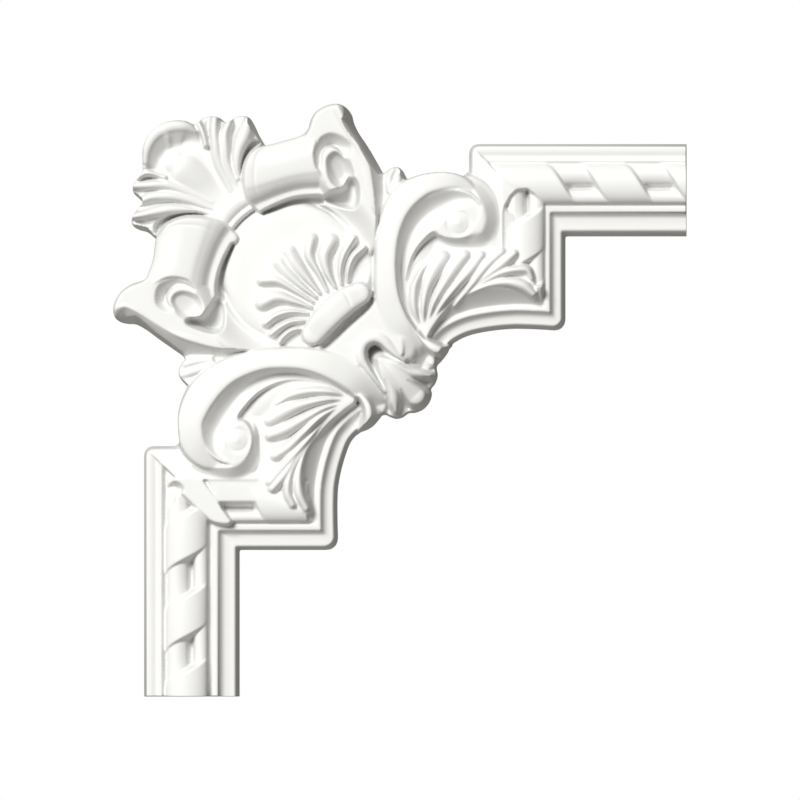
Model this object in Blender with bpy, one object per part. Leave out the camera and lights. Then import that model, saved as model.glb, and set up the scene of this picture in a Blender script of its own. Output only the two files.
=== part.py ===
"""White polyurethane corner ornament: one casting with a flat back.

A cupped shell, two rolled straps, a round shield with a palmette, two scrolls with acanthus
leaves and a hanging drop fill the corner. A mitred frame with a twisted rope runs out on each
side. The back lies on the wall in the plane y = 0 and the carving stands out towards -y.
"""

import bmesh
import bpy
import numpy as np

# Grid spacing of the carving, and the facets left on the casting
STEP = 0.7
FACETS = 9400
# Depth behind the wall plane at which the carved sheet is first cut off
SPARE = 1.0

# Drawing units: u runs right, v up and heights out from the wall, all in millimetres
MM = 0.001
LOW, HIGH = (-97, -202), (197, 102)
FLOOR = -12.0
WALL = 10.0

# Moulding heights
BAND, RIDGE, FILLET, INNER = 14.0, 15.0, 12.6, 7.5
ROPE_BED, ROPE_CROWN, REED_CROWN = 11.2, 20.0, 17.4

# Round shield
SHIELD = (-4.0, 14.0)
SHIELD_RADIUS = 34.2
SHIELD_CROWN = 22.5

# Scrolls, leaves and straps
LEAF_BASE = 19.5
STRAP_CROWN = 31.0


def smooth(points, closed=False, pieces=8):
    """A smooth line through the points. Columns after the first two are smoothed with it."""
    knots = np.asarray(points, float)
    if closed:
        knots = np.vstack([knots[-2:], knots, knots[:3]])
    else:
        knots = np.vstack([2 * knots[0] - knots[1], knots, 2 * knots[-1] - knots[-2]])
    gap = np.maximum(np.hypot(*(knots[1:, :2] - knots[:-1, :2]).T), 1e-6) ** 0.5
    slope = (knots[1:] - knots[:-1]) / gap[:, None]
    before, after = gap[:-1, None], gap[1:, None]
    tangent = (slope[:-1] * after + slope[1:] * before) / (before + after)
    t = np.linspace(0, 1, pieces, endpoint=False)[:, None]
    rows = []
    for i in range(len(tangent) - 1):
        rows.append(
            knots[i + 1] * (2 * t**3 - 3 * t**2 + 1)
            + knots[i + 2] * (3 * t**2 - 2 * t**3)
            + tangent[i] * gap[i + 1] * (t**3 - 2 * t**2 + t)
            + tangent[i + 1] * gap[i + 1] * (t**3 - t**2)
        )
    line = np.vstack(rows)
    return line[pieces:-pieces] if closed else np.vstack([line, knots[-2]])


def quarter(x):
    """A quarter circle's fall: 0 at x = 0, upright and 1 at x = 1."""
    return 1 - np.sqrt(1 - np.clip(x, 0, 1) ** 2)


def ease(x):
    x = np.clip(x, 0, 1)
    return x * x * (3 - 2 * x)


def lower(a, b, blend):
    return np.minimum(a, b) - np.maximum(blend - np.abs(a - b), 0) ** 2 / (4 * blend)


def higher(a, b, blend):
    return -lower(-a, -b, blend)


class Relief:
    """A square grid of heights over the wall, carved by adding and taking away shapes."""

    def __init__(self, step):
        self.step = step
        across = np.arange(LOW[0], HIGH[0] + step / 2, step)
        upward = np.arange(LOW[1], HIGH[1] + step / 2, step)
        self.u, self.v = np.meshgrid(across, upward)
        self.z = np.full(self.u.shape, FLOOR)

    def around(self, points, reach):
        """The rows and columns within reach of the points' box."""
        low, high = points.min(0) - reach, points.max(0) + reach
        last = [len(self.u[0]), len(self.u)]
        first = [max(int((low[k] - LOW[k]) / self.step), 0) for k in (0, 1)]
        end = [min(max(int((high[k] - LOW[k]) / self.step) + 2, 0), last[k]) for k in (0, 1)]
        return np.s_[first[1] : end[1], first[0] : end[0]]

    def along(self, line, reach):
        """Near a line: place on the grid, distance to it, side (left is plus) and its further columns."""
        place = self.around(line[:, :2], reach)
        best = np.full(self.u.shape, float(reach))
        side = np.zeros(self.u.shape)
        share = np.zeros(self.u.shape)
        for i, (a, b) in enumerate(zip(line, line[1:])):
            du, dv = b[0] - a[0], b[1] - a[1]
            length = du * du + dv * dv
            if length < 1e-12:
                continue
            near = self.around(np.array([a[:2], b[:2]]), reach)
            u, v = self.u[near] - a[0], self.v[near] - a[1]
            t = np.clip((u * du + v * dv) / length, 0, 1)
            distance = np.hypot(u - t * du, v - t * dv)
            closer = distance < best[near]
            best[near][closer] = distance[closer]
            share[near][closer] = (i + t)[closer]
            side[near][closer] = np.sign(du * v - dv * u)[closer]
        rows = np.arange(len(line))
        columns = [np.interp(share[place], rows, line[:, k]) for k in range(2, line.shape[1])]
        return place, best[place], side[place], columns

    def inside(self, outline, reach):
        """How far each place is inside a closed outline, minus outside it."""
        line = np.vstack([outline, outline[:1]])
        place, distance, _, _ = self.along(line, reach)
        within = np.zeros(self.u.shape, bool)
        for a, b in zip(line, line[1:]):
            if a[1] == b[1]:
                continue
            rows = (a[1] > self.v[:, 0]) != (b[1] > self.v[:, 0])
            slant = (b[0] - a[0]) * (self.v[rows] - a[1]) / (b[1] - a[1]) + a[0]
            within[rows] ^= self.u[rows] < slant
        return place, np.where(within[place], distance, -distance)

    def lay(self, place, height, fillet=0.5):
        """Adds material up to the height."""
        old = self.z[place]
        there = height > FLOOR
        round_in = np.maximum(0, 1 - np.abs(height - old) / fillet) ** 2 * fillet / 4
        self.z[place] = np.where(there, np.maximum(height, old) + round_in, old)

    def cut(self, place, height, fillet=0.6):
        """Takes material away down to the height."""
        old = self.z[place]
        round_off = np.maximum(0, 1 - np.abs(height - old) / fillet) ** 2 * fillet / 4
        self.z[place] = np.minimum(height, old) - round_off * (old > 0)

    def rib(self, stations, drop=None, wall=WALL, fillet=0.5, power=2.0, tilt=0.0):
        """A rounded rib. Each station is its place, half-width and crown height; the sides fall by drop."""
        line = smooth(stations)
        place, distance, side, (width, crown) = self.along(line, line[:, 2].max() + 9)
        width = np.maximum(width, 0.2)
        fall = width if drop is None else drop
        across = np.minimum(distance / width, 1)
        height = crown - fall * (1 - (1 - across**power) ** (1 / power)) + tilt * side * distance
        self.lay(place, height - wall * np.maximum(distance - width, 0), fillet)

    def ribs(self, many, **shape):
        for stations in many:
            self.rib(stations, **shape)

    def mass(self, points, top, edge, shoulder, wall=WALL, fillet=0.6):
        """A raised shape in a closed outline, rounded over its shoulder's width down to the edge height."""
        place, depth = self.inside(smooth(points, closed=True), 9)
        top = top(self.u[place], self.v[place]) if callable(top) else top
        height = top - (top - edge) * quarter(1 - depth / shoulder)
        self.lay(place, height - wall * np.maximum(-depth, 0), fillet)

    def hollow(self, points, floor, slope=8.0, reach=4):
        """A pocket with its floor in a closed outline, its sides rising outside it."""
        place, depth = self.inside(smooth(points, closed=True), reach)
        floor = floor(self.u[place], self.v[place]) if callable(floor) else floor
        side = np.where(depth <= -reach, 99, slope * np.maximum(-depth, 0))
        self.cut(place, floor + side, 1.2)

    def dish(self, points, edge, slope, floor):
        """A pocket that falls from its edge's height at a slope down to its floor."""
        place, depth = self.inside(smooth(points, closed=True), 9)
        height = np.where(depth > 0, np.maximum(edge - slope * depth, floor), edge - WALL * depth)
        self.cut(place, np.where(depth > -2.9, height, 99), 1.2)

    def bevel(self, stations, slope, left):
        """Cuts a slope down from a line to one side. Each station is its place and height."""
        place, distance, side, (height,) = self.along(smooth(stations), 9)
        beyond = (side * left > 0) & (distance < 8.9)
        self.cut(place, np.where(beyond, height - slope * distance, 99), 2)

    def groove(self, stations, sharp=2.0):
        """A valley. Each station is its place, half-width and depth."""
        line = smooth(stations)
        place, distance, _, (width, deep) = self.along(line, line[:, 2].max() + 1)
        share = np.clip(1 - distance / np.maximum(width, 0.2), 0, 1)
        self.z[place] -= np.maximum(deep, 0) * share**sharp * (self.z[place] > 0)


# Outlines of the carved corner, each run clockwise as it shows against the wall
SHELL_EDGE = [
    (-72, 30.4), (-76, 33.7), (-80, 34.9), (-83, 36.6), (-84.2, 39), (-83.5, 42), (-80.8, 46),
    (-78.7, 48.6),
    (-80, 50.3), (-83, 53.3), (-83.6, 56.4), (-81.7, 60), (-78.9, 63.8), (-78.7, 69), (-78.6, 75.5),
    (-76.4, 81.2), (-72, 86), (-67, 88.8), (-62, 89.8), (-57, 89.4), (-52.6, 87.9), (-48.6, 90.6),
    (-44.2, 91.8), (-40, 90.9), (-36.6, 88.6), (-32.5, 91), (-28.5, 92), (-25.2, 91), (-22.8, 87.5),
    (-20.2, 82), (-17.4, 77.3),
]
RIGHT_STRAP_EDGE = [
    (-17, 77.3), (-14, 77.9), (-8, 79.6), (-1.5, 81.4), (2, 83.2), (4.1, 85.8), (5.1, 89.3), (7.4, 93.5),
    (11.5, 96.4), (16.5, 98), (20.2, 97.8), (23.4, 95.9), (25.9, 92.5), (27.2, 88), (29.2, 83.8),
    (34, 76.5),
    (39, 68), (41.4, 63.6),
]
LEFT_STRAP_EDGE = [
    (-57.5, -29.6), (-58.4, -28.2), (-62, -25.6), (-70, -20), (-77.4, -14.6), (-82, -12.3), (-86, -12),
    (-89.6, -11.1), (-92.3, -9), (-93.4, -5), (-92.4, -0.5), (-89, 4.6), (-84, 8), (-80, 9.3),
    (-77.3, 10.4),
    (-75.6, 14), (-73.6, 20), (-72.3, 29.5),
]
RIGHT_BUD_EDGE = [(41.9, 63.1), (45, 65.5), (48.5, 66.5), (51.2, 64.8), (53.3, 61)]
LEFT_BUD_EDGE = [(-56.2, -43.3), (-59.4, -39.8), (-60.7, -37), (-60, -33.4), (-57.9, -30.2)]
RIGHT_SCROLL_EDGE = [(53.8, 60.4), (60, 62.6), (66, 63.7), (72, 64), (78, 63.2), (81.8, 62.2), (84.3, 64.6)]
LEFT_SCROLL_EDGE = [
    (-62.6, -73), (-60.6, -71.5), (-60.7, -68), (-61.1, -61), (-60.6, -55), (-58.9, -49), (-56.5, -44),
]
FOOT_EDGE = [
    (74.9, -24.4), (73.6, -27), (70.8, -30.6), (68.5, -33.4), (68.9, -38), (67.6, -42), (65.6, -44.7),
    (66, -47), (65, -50.8), (62, -54.5), (58, -56.4), (54.3, -56.8), (51.4, -58.8), (48.3, -59.5),
    (45.4, -58.7), (43, -57.6), (41.1, -57.9), (39.6, -59.8), (36.7, -63), (34, -64.8), (30.5, -66.1),
]
# Hollow curves on the inner side of each frame, met by the arms' ends
RIGHT_HOLLOW = [
    (64, -40), (70, -30), (74.6, -24), (77.3, -21.4), (84, -18), (93.5, -15.8), (105.5, -14.5),
    (113, -14.5),
    (122, -14.9), (129, -15.4), (140, -16),
]
LEFT_HOLLOW = [
    (44, -56), (35, -62), (29.3, -66.6), (26, -70.2), (24.5, -73), (22.7, -78), (20.7, -85), (19.2, -93),
    (18.8, -100), (18.8, -110), (19, -118), (19.2, -130),
]


def ground(relief):
    """The low ground that joins all the carving."""
    outline = [
        (-70, 29), (-46, 50), (-24, 70), (10, 83), (40, 58), (74, 40), (80, 20), (66, -20), (64, -40),
        (50, -56),
        (20, -60), (-28, -76), (-50, -38), (-78, -8), (-71, 20),
    ]
    relief.mass(outline, 8, 7, 2, wall=5)


def outer_moulding(distance):
    """Height across the outer edge: a flat band, a shallow cove, a bead and the rope's bed."""
    across = [-3, 0, 0.8, 1.4, 4, 5, 6.3, 7.3, 8.2, 8.8, 9.6, 10.4, 11.4]
    heights = [
        -20, 0, BAND - 0.6, BAND, BAND, BAND - 0.4, BAND - 0.9, BAND - 0.3, RIDGE, RIDGE, BAND, 12.2,
        ROPE_BED,
    ]
    return np.interp(distance, across, heights)


def step(distance, knots):
    """Place in the inner moulding: 0 foot, 1 flat, 2 cove, 3 and 4 the fillet's edges, 5 the rope's bed."""
    place = np.interp(distance, knots + [knots[-1] + 0.9], range(6))
    return np.where(distance < 0, distance / knots[1], place)


def inner_moulding(place):
    """Height across the inner edge, from its foot to the rope's bed."""
    cove = quarter((place - 1.25) / 1.65)
    height = np.interp(place, [-2, 0, 1, 1.12, 2], [-15, 0, INNER - 0.3, INNER, INNER])
    return height + (FILLET - INNER) * cove - (FILLET - ROPE_BED) * ease(place - 4)


def frame(relief, plain, moulded, arm, upright, hollow, end, region):
    """One mitred frame. Its distances run in from its two outer edges, its inner edges and its cut end."""
    place = higher(step(*arm), lower(step(*upright), step(*hollow), 0.2), 0.2)
    deep = place > 4.9
    body = inner_moulding(place)
    rise = hollow[0] - hollow[1][4]
    covers = (rise > 0) & (rise < 14)
    shade = FILLET - 2 + 12 * np.clip(rise / 7.5, 0, 1) ** 1.2
    body = np.where(deep & covers, np.maximum(body, shade), body)
    slab = np.interp(plain, [1.4, 16], [BAND, 19.5])
    on_plain = plain < moulded
    edge = np.where(on_plain, slab, outer_moulding(moulded))
    near = np.where(on_plain, ~covers, moulded < 11.4)
    height = np.where(near & deep, edge, np.minimum(np.where(near, edge, 99), body))
    wall = np.interp(lower(plain, moulded, 5), [-3, 0, 0.8, 1.4, 2], [-20, 0, BAND - 0.6, BAND, 99])
    height = np.minimum(height, wall)
    foot = lower(upright[0], hollow[0], 7)
    corner = (np.abs(upright[0]) < 9) & (np.abs(hollow[0]) < 9)
    wall = np.interp(foot, [-3, 0, 1.8, 2.4], [-9, 0, INNER, 99])
    height = np.where(corner, np.minimum(height, wall), height)
    relief.lay(np.s_[:, :], np.where(region, height, FLOOR), 0.3)


def signed(relief, line, flip, reach=60):
    """Distance from a line over the whole grid, plus on one side."""
    distance = np.full(relief.u.shape, float(reach))
    place, near, side, _ = relief.along(smooth(line), reach)
    distance[place] = np.where(side == 0, reach, near * side * flip)
    return distance


def frames(relief):
    u, v = relief.u, relief.v
    beyond = 99.0 * (v < 22)
    frame(
        relief,
        plain=u - 84.75 + beyond,
        moulded=77.75 - v,
        arm=(v - 31.75, [0, 2.6, 9.3, 12, 15]),
        upright=(132.75 - u, [0, 2.2, 5.7, 7.9, 10.6]),
        hollow=(signed(relief, RIGHT_HOLLOW, 1), [0, 2, 6.2, 9, 11]),
        end=193.25 - u,
        region=(u > 60) & (v > -32),
    )
    beyond = 99.0 * (u > -12)
    frame(
        relief,
        plain=-73.25 - v + beyond,
        moulded=u + 77.75,
        arm=(-30.15 - u, [0, 1.9, 7.65, 10.55, 12.9]),
        upright=(v + 125, [0, 1.8, 7.8, 10, 13]),
        hollow=(signed(relief, LEFT_HOLLOW, -1), [0, 2, 5.5, 8.4, 10.4]),
        end=v + 198.25,
        region=(v < -52) & (u < 36),
    )


def rope(relief, p, q, half, lean, ribbons, reeds, region):
    """Reeds bound by a ribbon: p runs along the rope and q across it; ribbons are spans at mid-height."""
    winding = np.arcsin(np.clip(q / half, -1, 1)) * half * 2 / np.pi
    skew = p - lean * winding
    edge = np.full(p.shape, -50.0)
    for start, stop in ribbons:
        edge = np.maximum(edge, np.minimum(skew - start, stop - skew))
    ribbon = ROPE_BED + 2 + (ROPE_CROWN - ROPE_BED - 2) * (1 - quarter(np.abs(q) / half))
    ribbon = ribbon - 1.0 * quarter(1 - edge / 1.4) - 3.5 * np.maximum(-edge, 0)
    height = ribbon - WALL * np.maximum(np.abs(q) - half, 0)
    for middle, width in reeds:
        off = np.abs(q - middle)
        reed = REED_CROWN - 0.95 * width * quarter(off / width) - WALL * np.maximum(off - width, 0)
        height = np.maximum(height, reed)
    region = region & (np.abs(q) < half + 2)
    bed = ROPE_BED - 2.2 * ease((half - 1.5 - np.abs(q)) / 1.5)
    relief.z = np.where(region & (np.abs(q) < half), np.minimum(relief.z, bed), relief.z)
    relief.lay(np.s_[:, :], np.where(region, height, FLOOR), 0.3)


def ropes(relief):
    """The twisted rope on each frame: a long run on the arm and a short one beside the leaves."""
    u, v = relief.u, relief.v
    q = 58 - v
    region = (u > 104 + q * 0.9) & (u < 193.25)
    rope(relief, u, q, 10, 0.92, [(60, 131), (147.7, 170), (187.3, 240)], [(-4.6, 5.3), (6.7, 3.7)], region)
    q = u - 111.7
    window = [(100, 40), (102.5, 46.5), (105, 51.5), (108, 54.5), (113, 55), (117, 52.5), (122.5, 47)]
    place, depth = relief.inside(np.array(window + [(122.5, 7), (100, 7)]), 1)
    region = np.zeros(u.shape, bool)
    region[place] = depth > 0
    rope(relief, -v, q, 10.4, -0.86, [(-40, -18.5), (-3, 60)], [(-4.2, 5.6), (5.4, 4.8)], region)
    q = u + 56.2
    region = (v < -98.3 - q) & (v > -198.25)
    ribbons = [(106.5, 128.8), (147.4, 167.7), (184.8, 240)]
    rope(relief, -v, q, 10.6, -0.80, ribbons, [(-4.7, 5.4), (7, 3.6)], region)
    corner = [(-64, -90.5), (-60.5, -95), (-47.5, -107.5), (-43, -111), (-34.5, -111.5), (-47.5, -90.5),
              (-55, -87)]
    relief.mass(corner, 19.6, 18.2, 1.6)
    relief.hollow([(-66, -94), (-63, -92.6), (-60, -94.6), (-62.5, -97), (-64.3, -102), (-66, -101)], 12, 3)
    q = -100.5 - v
    region = (u > -47.5 - (v + 90.5) / 1.46) & (u < 4) & (v > -112.5)
    rope(relief, u, q, 10.6, 0.62, [(-22, 60)], [(-4.4, 6.2), (7.4, 3.0)], region)


def shell(relief):
    """The cupped shell at the corner: a tongue from the cup's heart, and lobes to both sides."""
    inner = [(-22, 66), (-27, 52), (-33, 42), (-44, 36), (-60, 32)]
    relief.mass(
        SHELL_EDGE + inner,
        lambda u, v: np.clip(18.5 - 0.055 * (np.hypot(u + 62, v - 70) - 12), 13.5, 19),
        15,
        2.6,
    )
    tongue = [(-64, 70, 8.0, 23), (-60, 66.5, 9, 24), (-53, 60.5, 8, 22.5), (-45, 53, 6, 19.5)]
    relief.rib(tongue + [(-38, 47, 4.5, 18)], drop=4.5, fillet=3.5, wall=0.8)
    rim = [(-76.3, 66.5, 2.2, 23), (-75.8, 75, 3.2, 26), (-71.6, 82, 4.4, 27.5), (-63.6, 85, 4.4, 27.5)]
    relief.rib(rim + [(-57, 85.6, 3.6, 26.5), (-51.8, 83, 2.2, 23.5)], drop=3.0, fillet=1.5)
    heart = [
        (-74.4, 67.5), (-73.9, 73.4), (-71, 77.8), (-67, 79), (-64.6, 76.8), (-62, 80.2), (-58, 81),
        (-55, 78.6),
        (-56, 75), (-59, 71.5), (-64, 68.5), (-68.5, 65.5), (-72.6, 64),
    ]
    relief.dish(heart, 27, 1.35, 16)
    lobes = [
        [(-80.8, 60.3, 1.3, 21), (-77, 62.9, 1.2, 22), (-72, 62.6, 1.2, 22), (-67, 60.6, 1.2, 21.5)],
        [(-82.2, 56.8, 1.8, 21), (-76, 57, 2.0, 22.5), (-68, 57.3, 2.4, 22.5), (-60, 55.3, 2.4, 21),
         (-44, 48.5, 1.8, 17.5)],
        [(-80, 48.6, 1.6, 20.5), (-74.5, 51, 2.0, 22), (-66, 51.6, 2.3, 22.5), (-57, 50.2, 2.0, 21),
         (-42, 45, 1.4, 17)],
        [(-82.3, 41.5, 1.6, 20.5), (-77, 42.6, 1.8, 22), (-70, 44.2, 2.2, 22.5), (-61, 45.3, 2.0, 21.5),
         (-45, 42.8, 1.2, 17)],
        [(-79, 35.5, 1.0, 16), (-74, 34.5, 1.5, 16)],
        [(-50.2, 87.6, 1.3, 21.5), (-48, 82.5, 1.3, 22.5), (-46.6, 77, 1.3, 22)],
        [(-42.3, 90, 1.8, 21.5), (-42.6, 84, 2.1, 22.5), (-42, 77, 2.4, 22.5), (-40.6, 69, 2.4, 21),
         (-34, 54, 1.6, 17.5)],
        [(-35.2, 88.2, 1.8, 21.5), (-37.2, 83, 2.0, 22.5), (-37.2, 76, 2.2, 22.5), (-36.4, 68, 2.0, 21),
         (-31, 55, 1.4, 17)],
        [(-25.5, 88.5, 2.4, 21), (-27.8, 82, 3.3, 22.5), (-30.6, 75, 2.6, 22.5), (-31.5, 68, 2.1, 21),
         (-30.3, 61, 1.6, 18.5)],
        [(-26.5, 83, 2.6, 21.5), (-22.9, 86, 1.2, 18)],
    ]
    lobes = [[(u, v, width + 0.3, crown + 2) for u, v, width, crown in lobe] for lobe in lobes]
    relief.ribs(lobes, drop=4.4, fillet=0.4, wall=5)
    for valley in (
        [(-52.4, 86.8, 1.2, 2), (-49.9, 82, 1.6, 3), (-48.6, 77, 1.2, 2)],
        [(-78, 67, 1.2, 2), (-73, 64.6, 1.6, 3), (-68.6, 62.3, 1.2, 2)],
        [(-79.8, 58.8, 1.0, 1.5), (-76.5, 60.3, 1.9, 3), (-72, 60.2, 1.8, 2.6), (-67, 58.6, 1.2, 1.2)],
        [(-45.8, 89, 1.5, 1.5), (-45.9, 85.5, 1.9, 3), (-45, 80, 1.5, 2.2), (-44.4, 74, 1.0, 1)],
        [(-82.2, 39.6, 1.4, 2), (-79, 38.7, 2.0, 3.4), (-75, 37.4, 1.6, 2)],
    ):
        relief.groove(valley)
    gap = [(-19, 78.5), (-23.5, 78.6), (-27.3, 72), (-28.8, 64), (-28.3, 60.5), (-27, 66), (-24.5, 72.5)]
    relief.hollow(gap, 11)
    gap = [(-70.8, 32.8), (-71.8, 36.8), (-66, 40.8), (-52, 42.7), (-46, 41.6), (-60, 40.6), (-66, 37.8)]
    relief.hollow(gap, 11)


def shield(relief):
    """The round shield, with two reeds round its rim where the straps leave it bare."""
    radius = np.hypot(relief.u - SHIELD[0], relief.v - SHIELD[1])
    between = (relief.v - relief.u > 48) & (relief.v > 24)
    for middle, width, crown, region in ((43.9, 5.0, 21.5, between), (37.7, 1.6, 19.5, radius > 0)):
        off = np.abs(radius - middle)
        reed = crown - 0.9 * width * quarter(off / width) - WALL * np.maximum(off - width, 0)
        relief.lay(np.s_[:, :], np.where(region, reed, FLOOR), 0.4)
    rim = 4.5 * quarter((radius - SHIELD_RADIUS + 6) / 6.2)
    dome = SHIELD_CROWN - 1.5 * (radius / SHIELD_RADIUS) ** 2
    dome = dome - rim - 3 * np.maximum(radius - SHIELD_RADIUS, 0)
    relief.lay(np.s_[:, :], np.where(radius < SHIELD_RADIUS + 6, dome, FLOOR), 0.5)


def strap_top(u, v):
    """A strap's back: it stands up from the shield's rim and levels off."""
    radius = np.hypot(u - SHIELD[0], v - SHIELD[1])
    return 17.5 + (STRAP_CROWN - 18) * ease((radius - SHIELD_RADIUS) / 15)


def rolled(relief, outer, lip, outline):
    """The rolled body of a strap: its height follows the share of the way from outer edge to lip."""
    profile = smooth([
        (0, 25), (0.05, 28), (0.12, 30.2), (0.25, 32.2), (0.4, 33), (0.55, 32.8), (0.68, 31.3),
        (0.78, 28.6),
        (0.85, 25), (0.9, 24.2), (0.95, 24.2), (1, 22.5),
    ])
    a = signed(relief, outer, 1, 50)
    b = signed(relief, lip, 1, 50)
    share = np.abs(a) / (np.abs(a) + np.abs(b) + 1e-6)
    place, depth = relief.inside(smooth(outline, closed=True), 6)
    height = np.interp(share[place], profile[:, 0], profile[:, 1])
    height = height - 1.6 * quarter(1 - depth / 0.8) - WALL * np.maximum(-depth, 0)
    relief.lay(place, np.where(depth > -5.9, height, FLOOR), 0.4)


def right_strap(relief):
    inner = [(41.5, 52), (39.6, 36), (37, 24), (31, 20), (22, 36), (12, 50), (8, 60), (3, 72), (1, 79)]
    relief.mass(RIGHT_STRAP_EDGE[5:] + inner, strap_top, 17, 2.2)
    side = [(20.3, 95.5, 31), (24, 87.5, 31), (30, 78, 31), (35, 67, 30), (37, 57, 28.5), (38.4, 45, 25),
            (39, 36, 22)]
    crest = [(19, 95, 2.6, 31.5), (22.3, 88, 2.2, 31.5), (28, 79, 2.4, 31.2), (33, 68.5, 2.6, 30.6)]
    relief.rib(crest + [(35, 55, 2.6, 29), (36.2, 42, 2.4, 26.5), (37.2, 33, 2.0, 22)], drop=2.6, fillet=3)
    relief.bevel(side, 1.7, 1)
    body = [
        (-17.4, 77.4), (-8, 79.6), (0, 81.8), (6, 82.5), (8.2, 79), (7.4, 71.5), (9.4, 65), (13, 60),
        (20, 58),
        (24, 58.5), (21.5, 55), (15, 51.8), (8, 51.1), (-1, 50.8), (-10, 47.9), (-18.4, 42.8),
        (-22.5, 45.8),
        (-26.2, 51.5), (-27.7, 60), (-26.5, 68), (-23.3, 73.4),
    ]
    lip = [(-19, 43.2), (-10, 47.9), (0, 50.9), (10, 51.3), (18, 52.8), (24, 57)]
    rolled(relief, [(-17.4, 77.6), (-8, 79.9), (0, 82.3), (8, 85), (16, 88)], lip, body)
    pocket = [
        (9.5, 64.5), (7.6, 71), (8.2, 76), (10.5, 80.5), (15, 82.7), (20.5, 81.5), (26, 76.5), (24, 70),
        (18, 66),
    ]
    relief.dish(pocket, 30.5, 1.2, 20)
    curl = [
        (14.2, 75.8), (18, 75.3), (21.5, 72), (24, 67.5), (25.2, 62.5), (24.3, 58.5), (20.5, 54.5),
        (15, 54),
        (12, 60), (10.8, 67), (11.4, 72.8),
    ]
    relief.mass(curl, 30.5, 28.5, 1.6)
    inside = [(17.6, 72), (20, 70), (22, 65.5), (22.6, 61.5), (21, 59.6), (18, 62), (15.8, 66), (15.2, 70)]
    relief.hollow(inside, lambda u, v: 27.2 - 0.24 * ((u - 14) - (v - 72)), 2.2)
    relief.hollow([(24.9, 59.5), (27.2, 57), (27.6, 50), (26.4, 46.6), (13, 50.2), (20, 53.2),
                   (23, 55.5)], 12)
    under = [(-18, 43), (-10, 47), (-3, 49.5), (4, 50.5), (11, 50.3), (11.5, 48.4), (3, 48.3), (-5, 47.3),
             (-12, 44.8)]
    relief.hollow(under, 13)
    hem = [(-17, 77, 0.9, 0.3), (-20.8, 72, 1.0, 0.5), (-22.4, 65, 1.0, 0.5), (-22.3, 57, 1.0, 0.5),
           (-20, 48, 0.9, 0.4)]
    relief.groove(hem)


def left_strap(relief):
    inner = [
        (-76, 12), (-68, 12), (-56, 12), (-46, 8), (-36, 2), (-26, -9), (-16, -19), (-6, -24), (-8, -28),
        (-30, -29.5),
        (-45, -29.5),
    ]
    relief.mass(LEFT_STRAP_EDGE[:-4] + inner, strap_top, 17, 2.2)
    side = [
        (-91, -5, 31), (-87, -3.8, 31), (-80, -6.8, 31), (-70, -12.8, 31), (-60, -18.8, 30),
        (-50, -22.3, 29),
        (-40, -24.7, 26.5), (-25, -25.3, 23),
    ]
    crest = [(-87, -4.5, 2.4, 31), (-82, -6.5, 2.3, 31.3), (-75, -11.5, 2.4, 31), (-66, -17.5, 2.6, 30.8)]
    relief.rib(crest + [(-55, -20, 2.6, 30), (-43, -22.8, 2.4, 28),
                        (-30, -24, 2.0, 24.5)], drop=2.6, fillet=3)
    relief.bevel(side, 1.7, -1)
    body = [
        (-72.2, 30.2), (-73.5, 20), (-75.6, 14), (-77, 10), (-73.5, 7), (-70.5, 8.5), (-66, 10.5),
        (-61, 10.8),
        (-55, 9), (-52, 4), (-50.5, -4), (-51, -9), (-47, -9.6), (-43, -3.5), (-41, 4), (-40.2, 11),
        (-37.8, 18.5), (-34.5, 25), (-30.4, 30.4), (-33, 34), (-39, 38.2), (-48, 40.4), (-58, 40.4),
        (-66, 37),
        (-69.7, 32.5),
    ]
    lip = [(-30, 31), (-34.5, 25.5), (-37.8, 19), (-40.2, 12), (-41.2, 5), (-42.4, -2), (-46, -9)]
    rolled(relief, [(-72, 31), (-73.8, 20), (-75.8, 14), (-78, 9), (-82, 2)], lip, body)
    pocket = [
        (-71, -3), (-71.8, 2), (-70, 7), (-63, 10), (-57, 8.6), (-52, 5), (-54, -1), (-60, -5), (-66, -6),
    ]
    relief.dish(pocket, 30.5, 1.2, 20)
    curl = [
        (-66, -0.5), (-64.3, 4.4), (-60.8, 6.9), (-55.5, 6.2), (-51, 3), (-48.5, -3), (-48.6, -8.2),
        (-52.5, -10.6),
        (-57, -9.8), (-62, -6.5),
    ]
    relief.mass(curl, 30, 28, 1.6)
    inside = [(-62.2, -0.7), (-61.4, 1.6), (-59, 2.6), (-55.6, 1.8), (-52.4, -0.5), (-51.6, -4),
              (-53.2, -6.8), (-58, -5.8)]
    relief.hollow(inside, lambda u, v: 27 - 0.16 * ((u + 63) - (v - 2)), 2.2)
    foot = [
        (-47.5, -9.7), (-43.2, -4), (-40.8, 0.5), (-38.6, -3), (-38.2, -10), (-39.5, -14), (-42.5, -14.8),
        (-50, -12.8), (-54.5, -10.8), (-51, -10.6),
    ]
    relief.hollow(foot, lambda u, v: 12 + 0.3 * np.maximum(u + 46, 0))
    under = [(-33, 27), (-36.8, 20), (-39.6, 12), (-40.6, 5), (-39.6, 0.5), (-38, -0.5), (-38.4, 6),
             (-37.6, 14), (-35, 22)]
    relief.hollow(under, 13)
    hem = [(-68, 34, 0.9, 0.3), (-62, 36.6, 1.0, 0.5), (-55, 37, 1.0, 0.5), (-47, 35.8, 1.0, 0.5),
           (-38, 31, 0.9, 0.4)]
    relief.groove(hem)


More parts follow.
